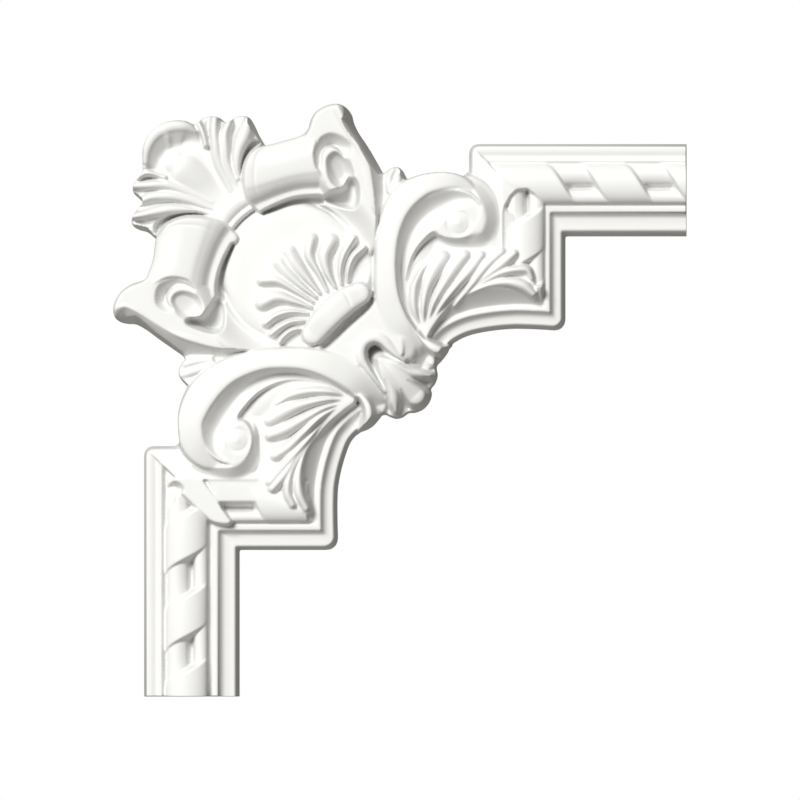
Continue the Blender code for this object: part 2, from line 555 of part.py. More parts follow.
def palmette(relief):
    """The fan of eleven flutes that opens over the shield."""
    bed = [
        (34, 8), (35, 22), (28, 31), (14, 34), (2, 30), (-8, 24), (-14, 17), (-21, 8), (-22, -4),
        (-20, -13),
        (-12, -21), (2, -21), (10, -8), (24, 4),
    ]
    relief.mass(bed, 21, 19.5, 3.5, fillet=1.5, wall=1.5)
    relief.hollow([(34.6, 18), (31, 15.5), (29.5, 9), (32.5, 8.2), (34.2, 12)], 20.5, 2)
    relief.hollow([(-7.5, -21.8), (-5, -18.8), (1.5, -17), (2, -20.5), (-3, -22)], 20.5, 2)
    z = 27.4
    flutes = [
        [(24, 9, 1.0, z - 1), (24.3, 15, 1.6, z), (27, 21.5, 1.9, z + 0.5), (32, 26, 1.7, z - 0.5)],
        [(20.8, 7.5, 1.0, z - 1), (20.2, 15, 1.6, z), (22, 22.5, 2.2, z + 0.8), (26.8, 30.5, 1.9, z)],
        [(17.8, 6, 1.1, z - 1), (13.8, 14, 2.4, z + 0.5), (12.3, 22, 3.6, z + 1), (15.5, 29, 4.0, z)],
        [(14, 4, 0.8, z - 1), (9.3, 13.5, 1.7, z), (4.8, 22.5, 2.8, z + 0.6), (6, 30, 3.2, z)],
        [(10.2, 3, 0.9, z - 1), (3.5, 11, 2.6, z), (-2.5, 18.5, 4.0, z + 0.5), (-5, 23.5, 3.6, z)],
        [(8.2, 1, 0.9, z - 1), (0, 7.5, 2.4, z), (-6.5, 13.8, 3.7, z + 0.5), (-9.8, 18.2, 3.5, z)],
        [(6.8, -1.5, 0.8, z - 1), (-2.5, 4.6, 1.7, z), (-11, 9.4, 2.7, z + 0.6), (-18.5, 9.5, 2.8, z)],
        [(5.8, -4, 1.0, z - 1), (-3, -0.8, 2.2, z + 0.5), (-11.5, 1.2, 3.3, z + 1), (-18.5, -1.8, 3.6, z)],
        [(4.2, -7, 1.0, z - 1), (-4, -6, 1.6, z), (-11.5, -7.9, 2.0, z + 0.8), (-17, -12, 1.8, z)],
        [(2.8, -10.5, 1.0, z - 1), (-4.5, -11.2, 1.5, z), (-10.5, -14.3, 1.8, z),
         (-14, -17.2, 1.5, z - 0.5)],
        [(1.5, -14.5, 0.9, z - 1.5), (-4, -15.4, 1.3, z - 0.5), (-8.5, -19, 1.3, z - 1),
         (-10, -21.5, 1.1, z - 1.8)],
    ]
    relief.ribs(flutes, drop=5.4, fillet=0.3, wall=5)


def bar(relief):
    """The rounded bar that closes the fan, and the smooth saddle below it."""
    relief.hollow([(12, -24), (24, -13.5), (35.2, -3), (36.5, 0.5), (33.6, 0.2), (22, -10.5),
                   (11, -21)], 17, 8)
    relief.rib([(6.6, -17.2, 5.6, 28.5), (13, -9.5, 6.4, 31), (22.5, -1, 6.4, 31),
                (29.8, 3, 5.6, 29.8)], drop=5, power=3.5)
    relief.groove([(19, 6, 1.1, 0.4), (22.5, 3.2, 1.2, 0.9), (25.6, -2.6, 1.2, 0.7)])


def buds(relief):
    """The two small buds between strap and scroll."""
    relief.mass(RIGHT_BUD_EDGE + [(51, 55), (45, 44), (40, 32), (37, 40), (39, 55)], 20, 18, 2.5)
    relief.mass(LEFT_BUD_EDGE + [(-50, -26), (-30, -26), (-16, -29), (-40, -34), (-50, -40)], 20, 18, 2.5)
    leaves = [
        [(45, 54, 1.8, 25), (44.6, 60, 1.9, 24), (46.6, 64.6, 1.6, 21)],
        [(46.5, 53.5, 1.8, 25.5), (49, 60, 1.9, 24.5), (50.2, 63.5, 1.7, 21)],
        [(-44, -29.8, 1.6, 24), (-51, -30.7, 1.9, 23), (-57, -32.3, 1.8, 21)],
        [(-43, -31.8, 1.6, 24), (-51, -35, 2.0, 23.5), (-58.3, -37.6, 1.9, 21)],
    ]
    relief.ribs(leaves, drop=2.4)


def pendant(relief):
    """The hanging drop below the shield: a saddle, a keyhole rim and three lobes over a low skirt."""
    saddle = [
        (4, -26), (12, -22), (24, -11), (36, -0.5), (40, 6), (46, -8), (52, -22), (50, -30), (40, -33),
        (26, -36), (10, -31),
    ]
    relief.mass(saddle, 26, 25, 1.5)
    relief.mass(FOOT_EDGE + [(30, -58), (36, -44), (45, -30), (60, -24), (70, -26)], 10.5, 8.5, 2.0, wall=4)
    rim = [
        (28.5, -30), (27.8, -24), (31.5, -19.2), (37, -17.4), (42.5, -19), (47.5, -24), (53, -31),
        (50, -34),
        (40, -34), (42, -44), (38, -42), (33, -34),
    ]
    relief.mass(rim, 28, 25.5, 3.0, fillet=1.5)
    lobes = [
        [(40, -27.5, 1.6, 24), (43.2, -36, 2.6, 23.5), (46.6, -44, 2.7, 21.5), (48, -51, 2.6, 19.5),
         (47.8, -54.5, 1.4, 17)],
        [(41, -27.5, 1.8, 24.5), (47, -36, 3.5, 24), (53.5, -43.5, 4.8, 21.5), (58, -48, 4.2, 18.5)],
        [(43, -28.5, 1.6, 24), (50.5, -34.4, 2.8, 23.5), (57.5, -37.2, 2.5, 21.5), (63.6, -38, 1.6, 18.5)],
    ]
    relief.ribs(lobes, drop=3.4, fillet=0.8, wall=3)
    hook = [(41, -37, 1.0, 1), (37.4, -31.5, 1.6, 5), (34.6, -27, 2.3, 12), (35.8, -23.2, 2.4, 14)]
    relief.groove(hook + [(39.8, -22.6, 2.1, 12), (43.2, -25.2, 1.4, 6), (45, -28, 0.8, 1)], sharp=0.9)
    for valley in (
        [(50.7, -44.5, 0.7, 1.5), (52.2, -49, 1.5, 4), (54.2, -54, 1.6, 3)],
        [(54, -40.2, 0.7, 1.5), (59, -42.6, 1.4, 4), (65, -45.6, 1.6, 3)],
        [(42.5, -40, 0.8, 1), (44.2, -47, 1.4, 3.5), (43.6, -54, 1.6, 4)],
        [(50, -31.8, 0.8, 1), (56, -34.2, 1.3, 3.5), (65, -33.5, 1.6, 4)],
    ):
        relief.groove(valley)


def scroll(relief, band, well, closing, eye, dome, lip, tilt):
    """A scroll: its broad band, and a well that falls from the band and climbs to the eye."""
    curve = smooth(well)
    outline = np.vstack([curve[:, :2], smooth(closing)])
    place, depth = relief.inside(outline, 4)
    _, from_band, _, (slope, climb) = relief.along(curve, 30)
    far = np.full(relief.u.shape, 30.0)
    slopes = np.full(relief.u.shape, 2.0)
    climbs = np.full(relief.u.shape, 8.0)
    near = relief.around(curve[:, :2], 30)
    far[near], slopes[near], climbs[near] = from_band, slope, climb
    far, slope, climb = far[place], slopes[place], climbs[place]
    valley = 19.5
    right, down = relief.u[place] - eye[0], eye[1] - relief.v[place]
    radius = np.hypot(right, down)
    below = ease(((right + down) / (radius + 2) + 0.5) / 1.3) * ease((24 - radius) / 4)
    from_dome = np.hypot(relief.u[place] - dome[0], relief.v[place] - dome[1])
    boss = 27 - 8 * below * ease((from_dome - dome[2]) / dome[3])
    height = np.where(
        far < slope,
        28 - (28 - valley) * ease(far / slope) ** 0.8,
        valley + (boss - valley) * ease((far - slope) / climb),
    )
    height = height + WALL * np.minimum(depth, 0)
    relief.lay(place, np.where(depth > -3.9, height, FLOOR), 0.3)
    radius = np.hypot(relief.u - eye[0], relief.v - eye[1])
    rings = 0.7 * ease(1 - np.abs(radius - 6.5) / 1.6) - 0.9 * ease(1 - radius / 4.5)
    relief.z -= np.where(radius < 9, rings, 0)
    relief.rib(band, drop=3.5, power=4.0, tilt=tilt)
    relief.rib(lip, drop=2.2, fillet=0.8)


def right_scroll(relief):
    band = [
        (62, -29.8, 6, 13), (57.5, -26, 6.8, 20), (50.5, -17, 6.9, 26), (44.4, -1, 6.1, 29),
        (42.9, 16, 5.4, 30),
        (44.5, 34, 5.7, 30), (50, 48, 6.5, 30), (60.5, 57, 6.1, 29.5), (74, 59.2, 4.7, 29),
        (88.5, 55.4, 3.5, 27.5),
        (97.6, 46, 1.8, 24), (99.9, 38, 1.2, 22.4), (97.4, 31, 1.2, 21.8), (91.5, 26.4, 1.2, 21.2),
        (85, 25, 1.1, 20.5),
    ]
    well = [
        (67.5, -27.5, 1.2, 8), (61, -20.5, 1.2, 8), (56, -13, 1.4, 8), (51.5, -5, 1.8, 8), (49, 4, 2.2, 8),
        (48.2, 15, 2.4, 8), (48.3, 22, 3, 8), (49.3, 30, 4.5, 8), (51, 36, 5.5, 8), (54, 42.5, 7, 8),
        (58.5, 48, 8, 8), (63.5, 51.7, 8.5, 7), (69, 54, 8.5, 7), (75, 55, 7.5, 7), (81, 54.3, 6, 6),
        (87.5, 52, 4, 5), (93.5, 48.3, 2, 3), (97.3, 42.5, 1, 3), (98.4, 37, 0.8, 3), (96.8, 31.5, 0.8, 3),
        (92, 27.3, 0.8, 3), (85, 26, 0.8, 3), (77, 26, 0.8, 3),
    ]
    closing = [
        (77, 26), (70, 29.5), (66.5, 31.5), (62, 29.5), (58, 23.5), (55.3, 15), (54, 6), (55.5, -5),
        (60, -15),
        (67.5, -27.5),
    ]
    lip = [(62.5, -19.5, 0.8, 21), (65.5, -23.3, 1.6, 22.5), (69.5, -25.2, 2.0, 22), (72.2, -24.8, 1.2, 19)]
    scroll(relief, band, well, closing, (79, 38), (79.5, 38, 9, 8), lip, -0.2)


def left_scroll(relief):
    band = [
        (38.5, -53, 5, 14), (36.5, -47.5, 6.3, 20), (29.5, -40.5, 6.9, 26), (17, -33.5, 6.7, 29),
        (4, -29.8, 5.8, 30),
        (-8, -29.2, 5.3, 30), (-20, -30.3, 5.3, 30), (-36, -36, 6.4, 30), (-48, -46.5, 7.5, 29.5),
        (-54.3, -60, 6.8, 29), (-54, -70, 6.2, 28.5), (-48.5, -80.5, 5.1, 27), (-38, -87, 3.6, 25.5),
        (-27.5, -87.2, 2.2, 24), (-20.3, -79.5, 1.7, 23), (-18.6, -70, 1.3, 22),
    ]
    well = [
        (29, -48.5, 1.2, 8), (20, -43, 1.4, 8), (12, -38.5, 1.8, 8), (4, -35.8, 2.2, 8),
        (-6, -34.5, 2.4, 8),
        (-15, -35, 3, 8), (-25, -37.5, 4.5, 8), (-33, -42, 6, 8), (-40, -48.5, 7.5, 8), (-45, -55.5, 8, 8),
        (-48, -62, 8, 7), (-48.3, -68, 7, 7), (-46.5, -74.5, 5.5, 6), (-42, -80, 4, 5), (-36, -83.8, 3, 5),
        (-29, -84.7, 2.5, 5), (-23.5, -80.5, 2.5, 5), (-20.5, -75, 2.5, 5), (-19.8, -69.5, 2.2, 5),
    ]
    closing = [
        (-19.8, -69.5), (-21, -62), (-25, -60), (-30.5, -58.5), (-28, -53.5), (-20.5, -47), (-10, -42.8),
        (3, -41.3),
        (14, -43.5), (23, -47.5), (29, -48.5),
    ]
    lip = [(30.6, -50.5, 1.0, 20), (33.6, -55.5, 1.9, 22.5), (33.8, -60, 2.1, 22), (31.2, -64, 1.3, 19)]
    scroll(relief, band, well, closing, (-30, -69), (-30.5, -68.5, 6.5, 6.5), lip, 0.2)


def leaf(relief, outline, flutes, shadow):
    """An acanthus leaf: fluted lobes that fan from the scroll, and the hollow under its first lobe."""
    relief.mass(outline, LEAF_BASE, LEAF_BASE - 1, 2.0)
    relief.ribs(flutes, drop=6, fillet=0.3, wall=7, power=2.5)
    relief.groove(shadow, sharp=1.2)


def leaves(relief):
    outline = [
        (63, -19), (57, -9), (54, 3), (54, 12), (57, 20), (61, 26), (66.8, 31.5), (70, 28.5), (78, 26.5),
        (90, 26),
        (102, 25.5), (108, 22), (107.5, 17), (113, 17), (117, 9), (117.5, 2), (113, 2.6), (107, 5),
        (100, 6.4), (92, 5.9), (84, 3.7), (77, -1.3), (71, -7.8), (66.5, -14),
    ]
    flutes = [
        [(61.2, -16, 0.9, 17), (57.2, -5, 2.3, 24), (56.9, 5, 2.5, 25.5), (59.3, 13, 3, 25.5),
         (63.2, 18.2, 2.4, 24)],
        [(62.4, -15, 0.8, 17), (61.6, -5, 1.9, 24), (63, 5, 2.7, 25.8), (66.6, 14, 4, 26),
         (71, 20.5, 4.2, 24.5)],
        [(63.6, -13.5, 0.8, 17), (66.6, -2, 2, 24), (72, 8, 2.9, 25.8), (77.8, 17, 3.8, 26),
         (82, 21.8, 3.2, 24.5)],
        [(65.4, -11.5, 0.8, 17), (71.8, -1, 1.8, 24), (78.8, 7.8, 2.4, 25.8), (85.8, 15.8, 3.1, 26),
         (90.2, 21.8, 2.6, 24.5)],
        [(77, -3, 1.3, 19), (85.5, 7.3, 2.2, 24.5), (93.3, 17.2, 2.9, 26), (100.5, 23.6, 2.4, 24)],
        [(83, 3.2, 1.2, 20), (91.5, 10.6, 2.2, 24.5), (100, 17.2, 3, 26), (106.6, 22.8, 2.5, 24)],
        [(82, 2.3, 1, 20), (91, 8.3, 1.8, 24), (100, 13.2, 2.2, 25.5), (108, 14.9, 2.2, 25.3),
         (113.2, 14.6, 2.3, 24),
         (115.6, 10.5, 1.6, 22)],
        [(80.5, 0.8, 1, 19.5), (88, 4.9, 1.4, 23.5), (96, 7.8, 2.1, 25), (104, 8.6, 2.7, 25.5),
         (111.3, 6.9, 3, 25),
         (116.3, 3, 2.2, 23)],
    ]
    leaf(relief, outline, flutes, [(66.6, 31, 1, 1), (63, 27.3, 2.4, 3), (59.2, 21.5, 2.6, 3),
                                   (56.3, 14, 2, 2), (54.9, 6, 1.3, 1)])
    outline = [
        (28, -50), (20, -44.5), (8, -41), (-4, -40.3), (-14, -43.5), (-23, -50), (-29.8, -58.6), (-24, -60),
        (-21, -66), (-20.5, -73), (-20, -80), (-21, -90), (-17, -96),
        (-8, -95.5), (-5, -100), (0, -106), (5, -106.6), (5.3, -101), (3, -94), (2.5, -86), (4.2, -77),
        (9, -68.5), (15, -61.5), (22, -55.5),
    ]
    flutes = [
        [(25, -48.8, 0.9, 17), (16, -46, 2, 24), (5, -45.6, 2.4, 25.5), (-4, -47.5, 2.6, 25.5),
         (-11, -50.8, 2.2, 24)],
        [(24.5, -50, 0.8, 17), (14, -49.8, 1.7, 24), (3, -51.8, 2.6, 25.8), (-6, -55, 3.8, 26),
         (-14, -59.5, 4, 24.5)],
        [(23, -51.2, 0.8, 17), (12, -54.2, 1.7, 24), (2, -59.5, 2.7, 25.8), (-7, -64.5, 3.4, 26),
         (-14.5, -67.5, 3, 24.5)],
        [(22, -52.2, 0.8, 17), (11, -58, 1.6, 24), (2, -66.2, 2.3, 25.8), (-5.5, -73.4, 2.8, 26),
         (-12, -77.8, 2.6, 24.5)],
        [(12, -60.5, 1.2, 19), (2, -72, 2, 24.5), (-7.5, -82.5, 2.8, 26), (-14.5, -90.8, 2.6, 24)],
        [(7, -65, 1.2, 20), (-1, -76.5, 2, 24.5), (-7.5, -87, 2.6, 26), (-13.5, -94, 2.4, 24)],
        [(7.2, -66.5, 0.9, 20), (0.5, -77, 1.8, 24), (-4.7, -87, 2.2, 25.5), (-6, -96, 2.4, 25),
         (-3.5, -102, 2.2, 23.5)],
        [(8, -67.5, 0.9, 19.5), (2.2, -77, 1.5, 23.5), (-0.5, -87, 2.3, 25), (-0.2, -96, 2.7, 25.5),
         (3.2, -103.8, 2.2, 23)],
    ]
    leaf(relief, outline, flutes, [(-29, -58.3, 1, 1), (-24.5, -54, 2.6, 3), (-18, -48.8, 2.6, 3),
                                   (-9, -44.8, 2, 2), (3, -42.9, 1.3, 1)])


def trim(relief):
    """Draws every outer wall of the carved corner up steeply from its outline on the back."""
    around_left = [
        (22.5, -90), (22.5, -100), (24, -130), (-25, -130), (-25, -206), (-86, -206), (-86, -69),
        (-66, -70),
    ]
    around_right = [
        (83.8, 66), (80, 70), (80, 86), (204, 86), (204, 28), (136, 28), (136, -19), (100, -18), (85, -21),
    ]
    runs = [smooth(edge) for edge in (
        LEFT_SCROLL_EDGE, LEFT_BUD_EDGE, LEFT_STRAP_EDGE, SHELL_EDGE, RIGHT_STRAP_EDGE, RIGHT_BUD_EDGE,
        RIGHT_SCROLL_EDGE,
    )]
    outline = np.vstack(runs + [around_right, smooth(FOOT_EDGE), around_left])
    place, depth = relief.inside(outline, 9)
    rise, run = np.gradient(depth, relief.step)
    facing = (rise - run) / np.maximum(np.hypot(rise, run), 0.3) / 1.4142
    width = 0.22 + 0.78 * ease((facing + 0.35) / 0.95)
    wall = np.interp(depth / width, [-9, 0, 1.2, 2.6, 4, 6, 8.9, 9], [-79, 0, 10.5, 20, 27, 32, 40, 99])
    relief.z[place] = np.where(depth > -8.9, np.minimum(relief.z[place], wall), FLOOR)
    for end in (193.25 - relief.u, relief.v + 198.25):
        relief.z = np.minimum(relief.z, np.interp(end, [-1, 0, 0.7, 0.9], [FLOOR, 0, 16, 99]))
    outside = np.ones(relief.u.shape, bool)
    outside[place] = False
    relief.z[outside] = FLOOR


def carve(relief):
    """The whole casting, from its ground up to the leaves."""
    for form in (
        ground, frames, ropes, shell, shield, right_strap, left_strap, palmette, buds, pendant,
        right_scroll,
        left_scroll, bar, leaves, trim,
    ):
        form(relief)


def clear_scene():
    for obj in list(bpy.data.objects):
        bpy.data.objects.remove(obj, do_unlink=True)


def cut_flat(mesh, depth):
    """Cuts the mesh off behind the given depth and closes it with a flat back."""
    work = bmesh.new()
    work.from_mesh(mesh)
    geometry = work.verts[:] + work.edges[:] + work.faces[:]
    bmesh.ops.bisect_plane(
        work, geom=geometry, dist=1e-7, plane_co=(0, depth * MM, 0), plane_no=(0, 1, 0), clear_outer=True
    )
    rim = [edge for edge in work.edges if edge.is_boundary]
    bmesh.ops.holes_fill(work, edges=rim, sides=0)
    bmesh.ops.triangulate(work, faces=[face for face in work.faces if len(face.verts) > 4])
    bmesh.ops.recalc_face_normals(work, faces=work.faces[:])
    work.to_mesh(mesh)
    work.free()


def sheet(relief, name):
    """The carved front as a grid lifted to the relief's heights."""
    rows, columns = relief.z.shape
    work = bmesh.new()
    bmesh.ops.create_grid(work, x_segments=columns - 1, y_segments=rows - 1, size=0.5)
    mesh = bpy.data.meshes.new(name)
    work.to_mesh(mesh)
    work.free()
    place = np.empty(len(mesh.vertices) * 3, np.float32)
    mesh.vertices.foreach_get("co", place)
    place = place.reshape(-1, 3)
    column = np.rint((place[:, 0] + 0.5) * (columns - 1)).astype(int)
    row = np.rint((place[:, 1] + 0.5) * (rows - 1)).astype(int)
    place[:, 0] = relief.u[row, column] * MM
    place[:, 1] = -relief.z[row, column] * MM
    place[:, 2] = relief.v[row, column] * MM
    mesh.vertices.foreach_set("co", place.ravel())
    mesh.update()
    return mesh


def simplify(obj, facets):
    """Leaves about this many facets, fewest where the surface is flat."""
    obj.data.calc_loop_triangles()
    modifier = obj.modifiers.new("Facets", "DECIMATE")
    modifier.ratio = facets / len(obj.data.loop_triangles)
    modifier.use_collapse_triangulate = True
    graph = bpy.context.evaluated_depsgraph_get()
    simple = bpy.data.meshes.new_from_object(obj.evaluated_get(graph))
    obj.modifiers.clear()
    obj.data = simple


def white_polyurethane():
    material = bpy.data.materials.new("white_polyurethane")
    material.use_nodes = True
    shader = material.node_tree.nodes["Principled BSDF"]
    shader.inputs["Base Color"].default_value = (0.87, 0.865, 0.85, 1)
    shader.inputs["Roughness"].default_value = 0.5
    shader.inputs["Metallic"].default_value = 0
    return material


def corner_ornament():
    relief = Relief(STEP)
    carve(relief)
    mesh = sheet(relief, "corner_ornament")
    cut_flat(mesh, SPARE)
    group = bpy.data.collections.new("corner_ornament")
    bpy.context.scene.collection.children.link(group)
    obj = bpy.data.objects.new("corner_ornament", mesh)
    group.objects.link(obj)
    bpy.context.view_layer.update()
    simplify(obj, FACETS)
    cut_flat(obj.data, 0)
    obj.data.name = "corner_ornament"
    obj.data.materials.append(white_polyurethane())


clear_scene()
corner_ornament()
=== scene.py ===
"""White polyurethane corner ornament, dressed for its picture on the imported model."""

import bmesh
import bpy
import mathutils
import numpy as np
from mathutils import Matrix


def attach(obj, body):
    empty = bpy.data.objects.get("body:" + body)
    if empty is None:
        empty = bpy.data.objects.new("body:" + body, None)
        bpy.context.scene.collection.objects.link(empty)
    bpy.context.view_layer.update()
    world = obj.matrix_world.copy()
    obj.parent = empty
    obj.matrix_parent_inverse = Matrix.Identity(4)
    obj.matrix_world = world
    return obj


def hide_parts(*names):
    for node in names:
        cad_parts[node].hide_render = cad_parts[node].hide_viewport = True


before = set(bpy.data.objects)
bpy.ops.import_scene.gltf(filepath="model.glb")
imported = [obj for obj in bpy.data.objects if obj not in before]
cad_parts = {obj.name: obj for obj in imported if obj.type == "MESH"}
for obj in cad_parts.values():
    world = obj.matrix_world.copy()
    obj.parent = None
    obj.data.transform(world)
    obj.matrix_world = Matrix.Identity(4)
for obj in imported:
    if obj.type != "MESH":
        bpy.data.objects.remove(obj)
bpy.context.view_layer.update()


# Ground of the corner: the whole ornament is one casting of rigid white polyurethane foam, taken from a
# carved master in a rubber mould. Its carved side is worked out here as heights over the flat back, in
# millimetres, u to the right and v up, and the low ground that joins all the carving comes first.
MM = 0.001
LOW, HIGH = (-97, -202), (197, 102)
GRID_STEP = 0.42
FLOOR = -12.0
WALL = 10.0


def smooth(points, closed=False, pieces=8):
    """A smooth line through the points. Columns after the first two are smoothed with it."""
    knots = np.asarray(points, float)
    if closed:
        knots = np.vstack([knots[-2:], knots, knots[:3]])
    else:
        knots = np.vstack([2 * knots[0] - knots[1], knots, 2 * knots[-1] - knots[-2]])
    gap = np.maximum(np.hypot(*(knots[1:, :2] - knots[:-1, :2]).T), 1e-6) ** 0.5
    slope = (knots[1:] - knots[:-1]) / gap[:, None]
    before, after = gap[:-1, None], gap[1:, None]
    tangent = (slope[:-1] * after + slope[1:] * before) / (before + after)
    t = np.linspace(0, 1, pieces, endpoint=False)[:, None]
    rows = []
    for i in range(len(tangent) - 1):
        rows.append(
            knots[i + 1] * (2 * t**3 - 3 * t**2 + 1)
            + knots[i + 2] * (3 * t**2 - 2 * t**3)
            + tangent[i] * gap[i + 1] * (t**3 - 2 * t**2 + t)
            + tangent[i + 1] * gap[i + 1] * (t**3 - t**2)
        )
    line = np.vstack(rows)
    return line[pieces:-pieces] if closed else np.vstack([line, knots[-2]])


def quarter(x):
    """A quarter circle's fall: 0 at x = 0, upright and 1 at x = 1."""
    return 1 - np.sqrt(1 - np.clip(x, 0, 1) ** 2)


class Relief:
    """A square grid of heights over the wall, carved by adding and taking away shapes."""

    def __init__(self, step):
        self.step = step
        across = np.arange(LOW[0], HIGH[0] + step / 2, step)
        upward = np.arange(LOW[1], HIGH[1] + step / 2, step)
        self.u, self.v = np.meshgrid(across, upward)
        self.z = np.full(self.u.shape, FLOOR)

    def around(self, points, reach):
        """The rows and columns within reach of the points' box."""
        low, high = points.min(0) - reach, points.max(0) + reach
        last = [len(self.u[0]), len(self.u)]
        first = [max(int((low[k] - LOW[k]) / self.step), 0) for k in (0, 1)]
        end = [min(max(int((high[k] - LOW[k]) / self.step) + 2, 0), last[k]) for k in (0, 1)]
        return np.s_[first[1] : end[1], first[0] : end[0]]

    def along(self, line, reach):
        """Near a line: place on the grid, distance to it, side (left is plus) and its further columns."""
        place = self.around(line[:, :2], reach)
        best = np.full(self.u.shape, float(reach))
        side = np.zeros(self.u.shape)
        share = np.zeros(self.u.shape)
        for i, (a, b) in enumerate(zip(line, line[1:])):
            du, dv = b[0] - a[0], b[1] - a[1]
            length = du * du + dv * dv
            if length < 1e-12:
                continue
            near = self.around(np.array([a[:2], b[:2]]), reach)
            u, v = self.u[near] - a[0], self.v[near] - a[1]
            t = np.clip((u * du + v * dv) / length, 0, 1)
            distance = np.hypot(u - t * du, v - t * dv)
            closer = distance < best[near]
            best[near][closer] = distance[closer]
            share[near][closer] = (i + t)[closer]
            side[near][closer] = np.sign(du * v - dv * u)[closer]
        rows = np.arange(len(line))
        columns = [np.interp(share[place], rows, line[:, k]) for k in range(2, line.shape[1])]
        return place, best[place], side[place], columns

    def inside(self, outline, reach):
        """How far each place is inside a closed outline, minus outside it."""
        line = np.vstack([outline, outline[:1]])
        place, distance, _, _ = self.along(line, reach)
        within = np.zeros(self.u.shape, bool)
        for a, b in zip(line, line[1:]):
            if a[1] == b[1]:
                continue
            rows = (a[1] > self.v[:, 0]) != (b[1] > self.v[:, 0])
            slant = (b[0] - a[0]) * (self.v[rows] - a[1]) / (b[1] - a[1]) + a[0]
            within[rows] ^= self.u[rows] < slant
        return place, np.where(within[place], distance, -distance)

    def lay(self, place, height, fillet=0.5):
        """Adds material up to the height."""
        old = self.z[place]
        there = height > FLOOR
        round_in = np.maximum(0, 1 - np.abs(height - old) / fillet) ** 2 * fillet / 4
        self.z[place] = np.where(there, np.maximum(height, old) + round_in, old)

    def cut(self, place, height, fillet=0.6):
        """Takes material away down to the height."""
        old = self.z[place]
        round_off = np.maximum(0, 1 - np.abs(height - old) / fillet) ** 2 * fillet / 4
        self.z[place] = np.minimum(height, old) - round_off * (old > 0)


def mass(relief, points, top, edge, shoulder, wall=WALL, fillet=0.6):
    """A raised shape in a closed outline, rounded over its shoulder's width down to the edge height."""
    place, depth = relief.inside(smooth(points, closed=True), 9)
    top = top(relief.u[place], relief.v[place]) if callable(top) else top
    height = top - (top - edge) * quarter(1 - depth / shoulder)
    relief.lay(place, height - wall * np.maximum(-depth, 0), fillet)


relief = Relief(GRID_STEP)
outline = [
    (-70, 29), (-46, 50), (-24, 70), (10, 83), (40, 58), (74, 40), (80, 20), (66, -20), (64, -40),
    (50, -56), (20, -60), (-28, -76), (-50, -38), (-78, -8), (-71, 20),
]
mass(relief, outline, 8, 7, 2, wall=5)


# The two mitred frames that carry the arms: plain foam mouldings, cast with the rest, with a flat band
# and bead outside, a stepped cove and fillet inside, and a slab where they pass under the scrolls.
BAND, RIDGE, FILLET, INNER = 14.0, 15.0, 12.6, 7.5
ROPE_BED, ROPE_CROWN, REED_CROWN = 11.2, 20.0, 16.6
RIGHT_END, LEFT_END = 193.25, -198.25
# A height or a distance past all others, so that it cuts nothing
FREE = 99.0
RIGHT_HOLLOW = [
    (64, -40), (70, -30), (74.6, -24), (77.3, -21.4), (84, -18), (93.5, -15.8), (105.5, -14.5),
    (113, -14.5), (122, -14.9), (129, -15.4), (140, -16),
]
LEFT_HOLLOW = [
    (44, -56), (35, -62), (29.3, -66.6), (26, -70.2), (24.5, -73), (22.7, -78), (20.7, -85), (19.2, -93),
    (18.8, -100), (18.8, -110), (19, -118), (19.2, -130),
]


def ease(x):
    x = np.clip(x, 0, 1)
    return x * x * (3 - 2 * x)


def lower(a, b, blend):
    return np.minimum(a, b) - np.maximum(blend - np.abs(a - b), 0) ** 2 / (4 * blend)


def higher(a, b, blend):
    return -lower(-a, -b, blend)


def outer_moulding(distance):
    """Height across the outer edge: a flat band, a shallow cove, a bead and the rope's bed."""
    across = [-3, 0, 0.8, 1.4, 4, 5, 6.3, 7.3, 8.2, 8.8, 9.6, 10.4, 11.4]
    heights = [
        -20, 0, BAND - 0.6, BAND, BAND, BAND - 0.4, BAND - 0.9, BAND - 0.3, RIDGE, RIDGE, BAND, 12.2,
        ROPE_BED,
    ]
    return np.interp(distance, across, heights)


def step(distance, knots):
    """Place in the inner moulding: 0 foot, 1 flat, 2 cove, 3 and 4 the fillet's edges, 5 the rope's bed."""
    place = np.interp(distance, knots + [knots[-1] + 0.9], range(6))
    return np.where(distance < 0, distance / knots[1], place)


def inner_moulding(place):
    """Height across the inner edge, from its foot to the rope's bed."""
    cove = quarter((place - 1.25) / 1.65)
    height = np.interp(place, [-2, 0, 1, 1.12, 2], [-15, 0, INNER - 0.3, INNER, INNER])
    return height + (FILLET - INNER) * cove - (FILLET - ROPE_BED) * ease(place - 4)


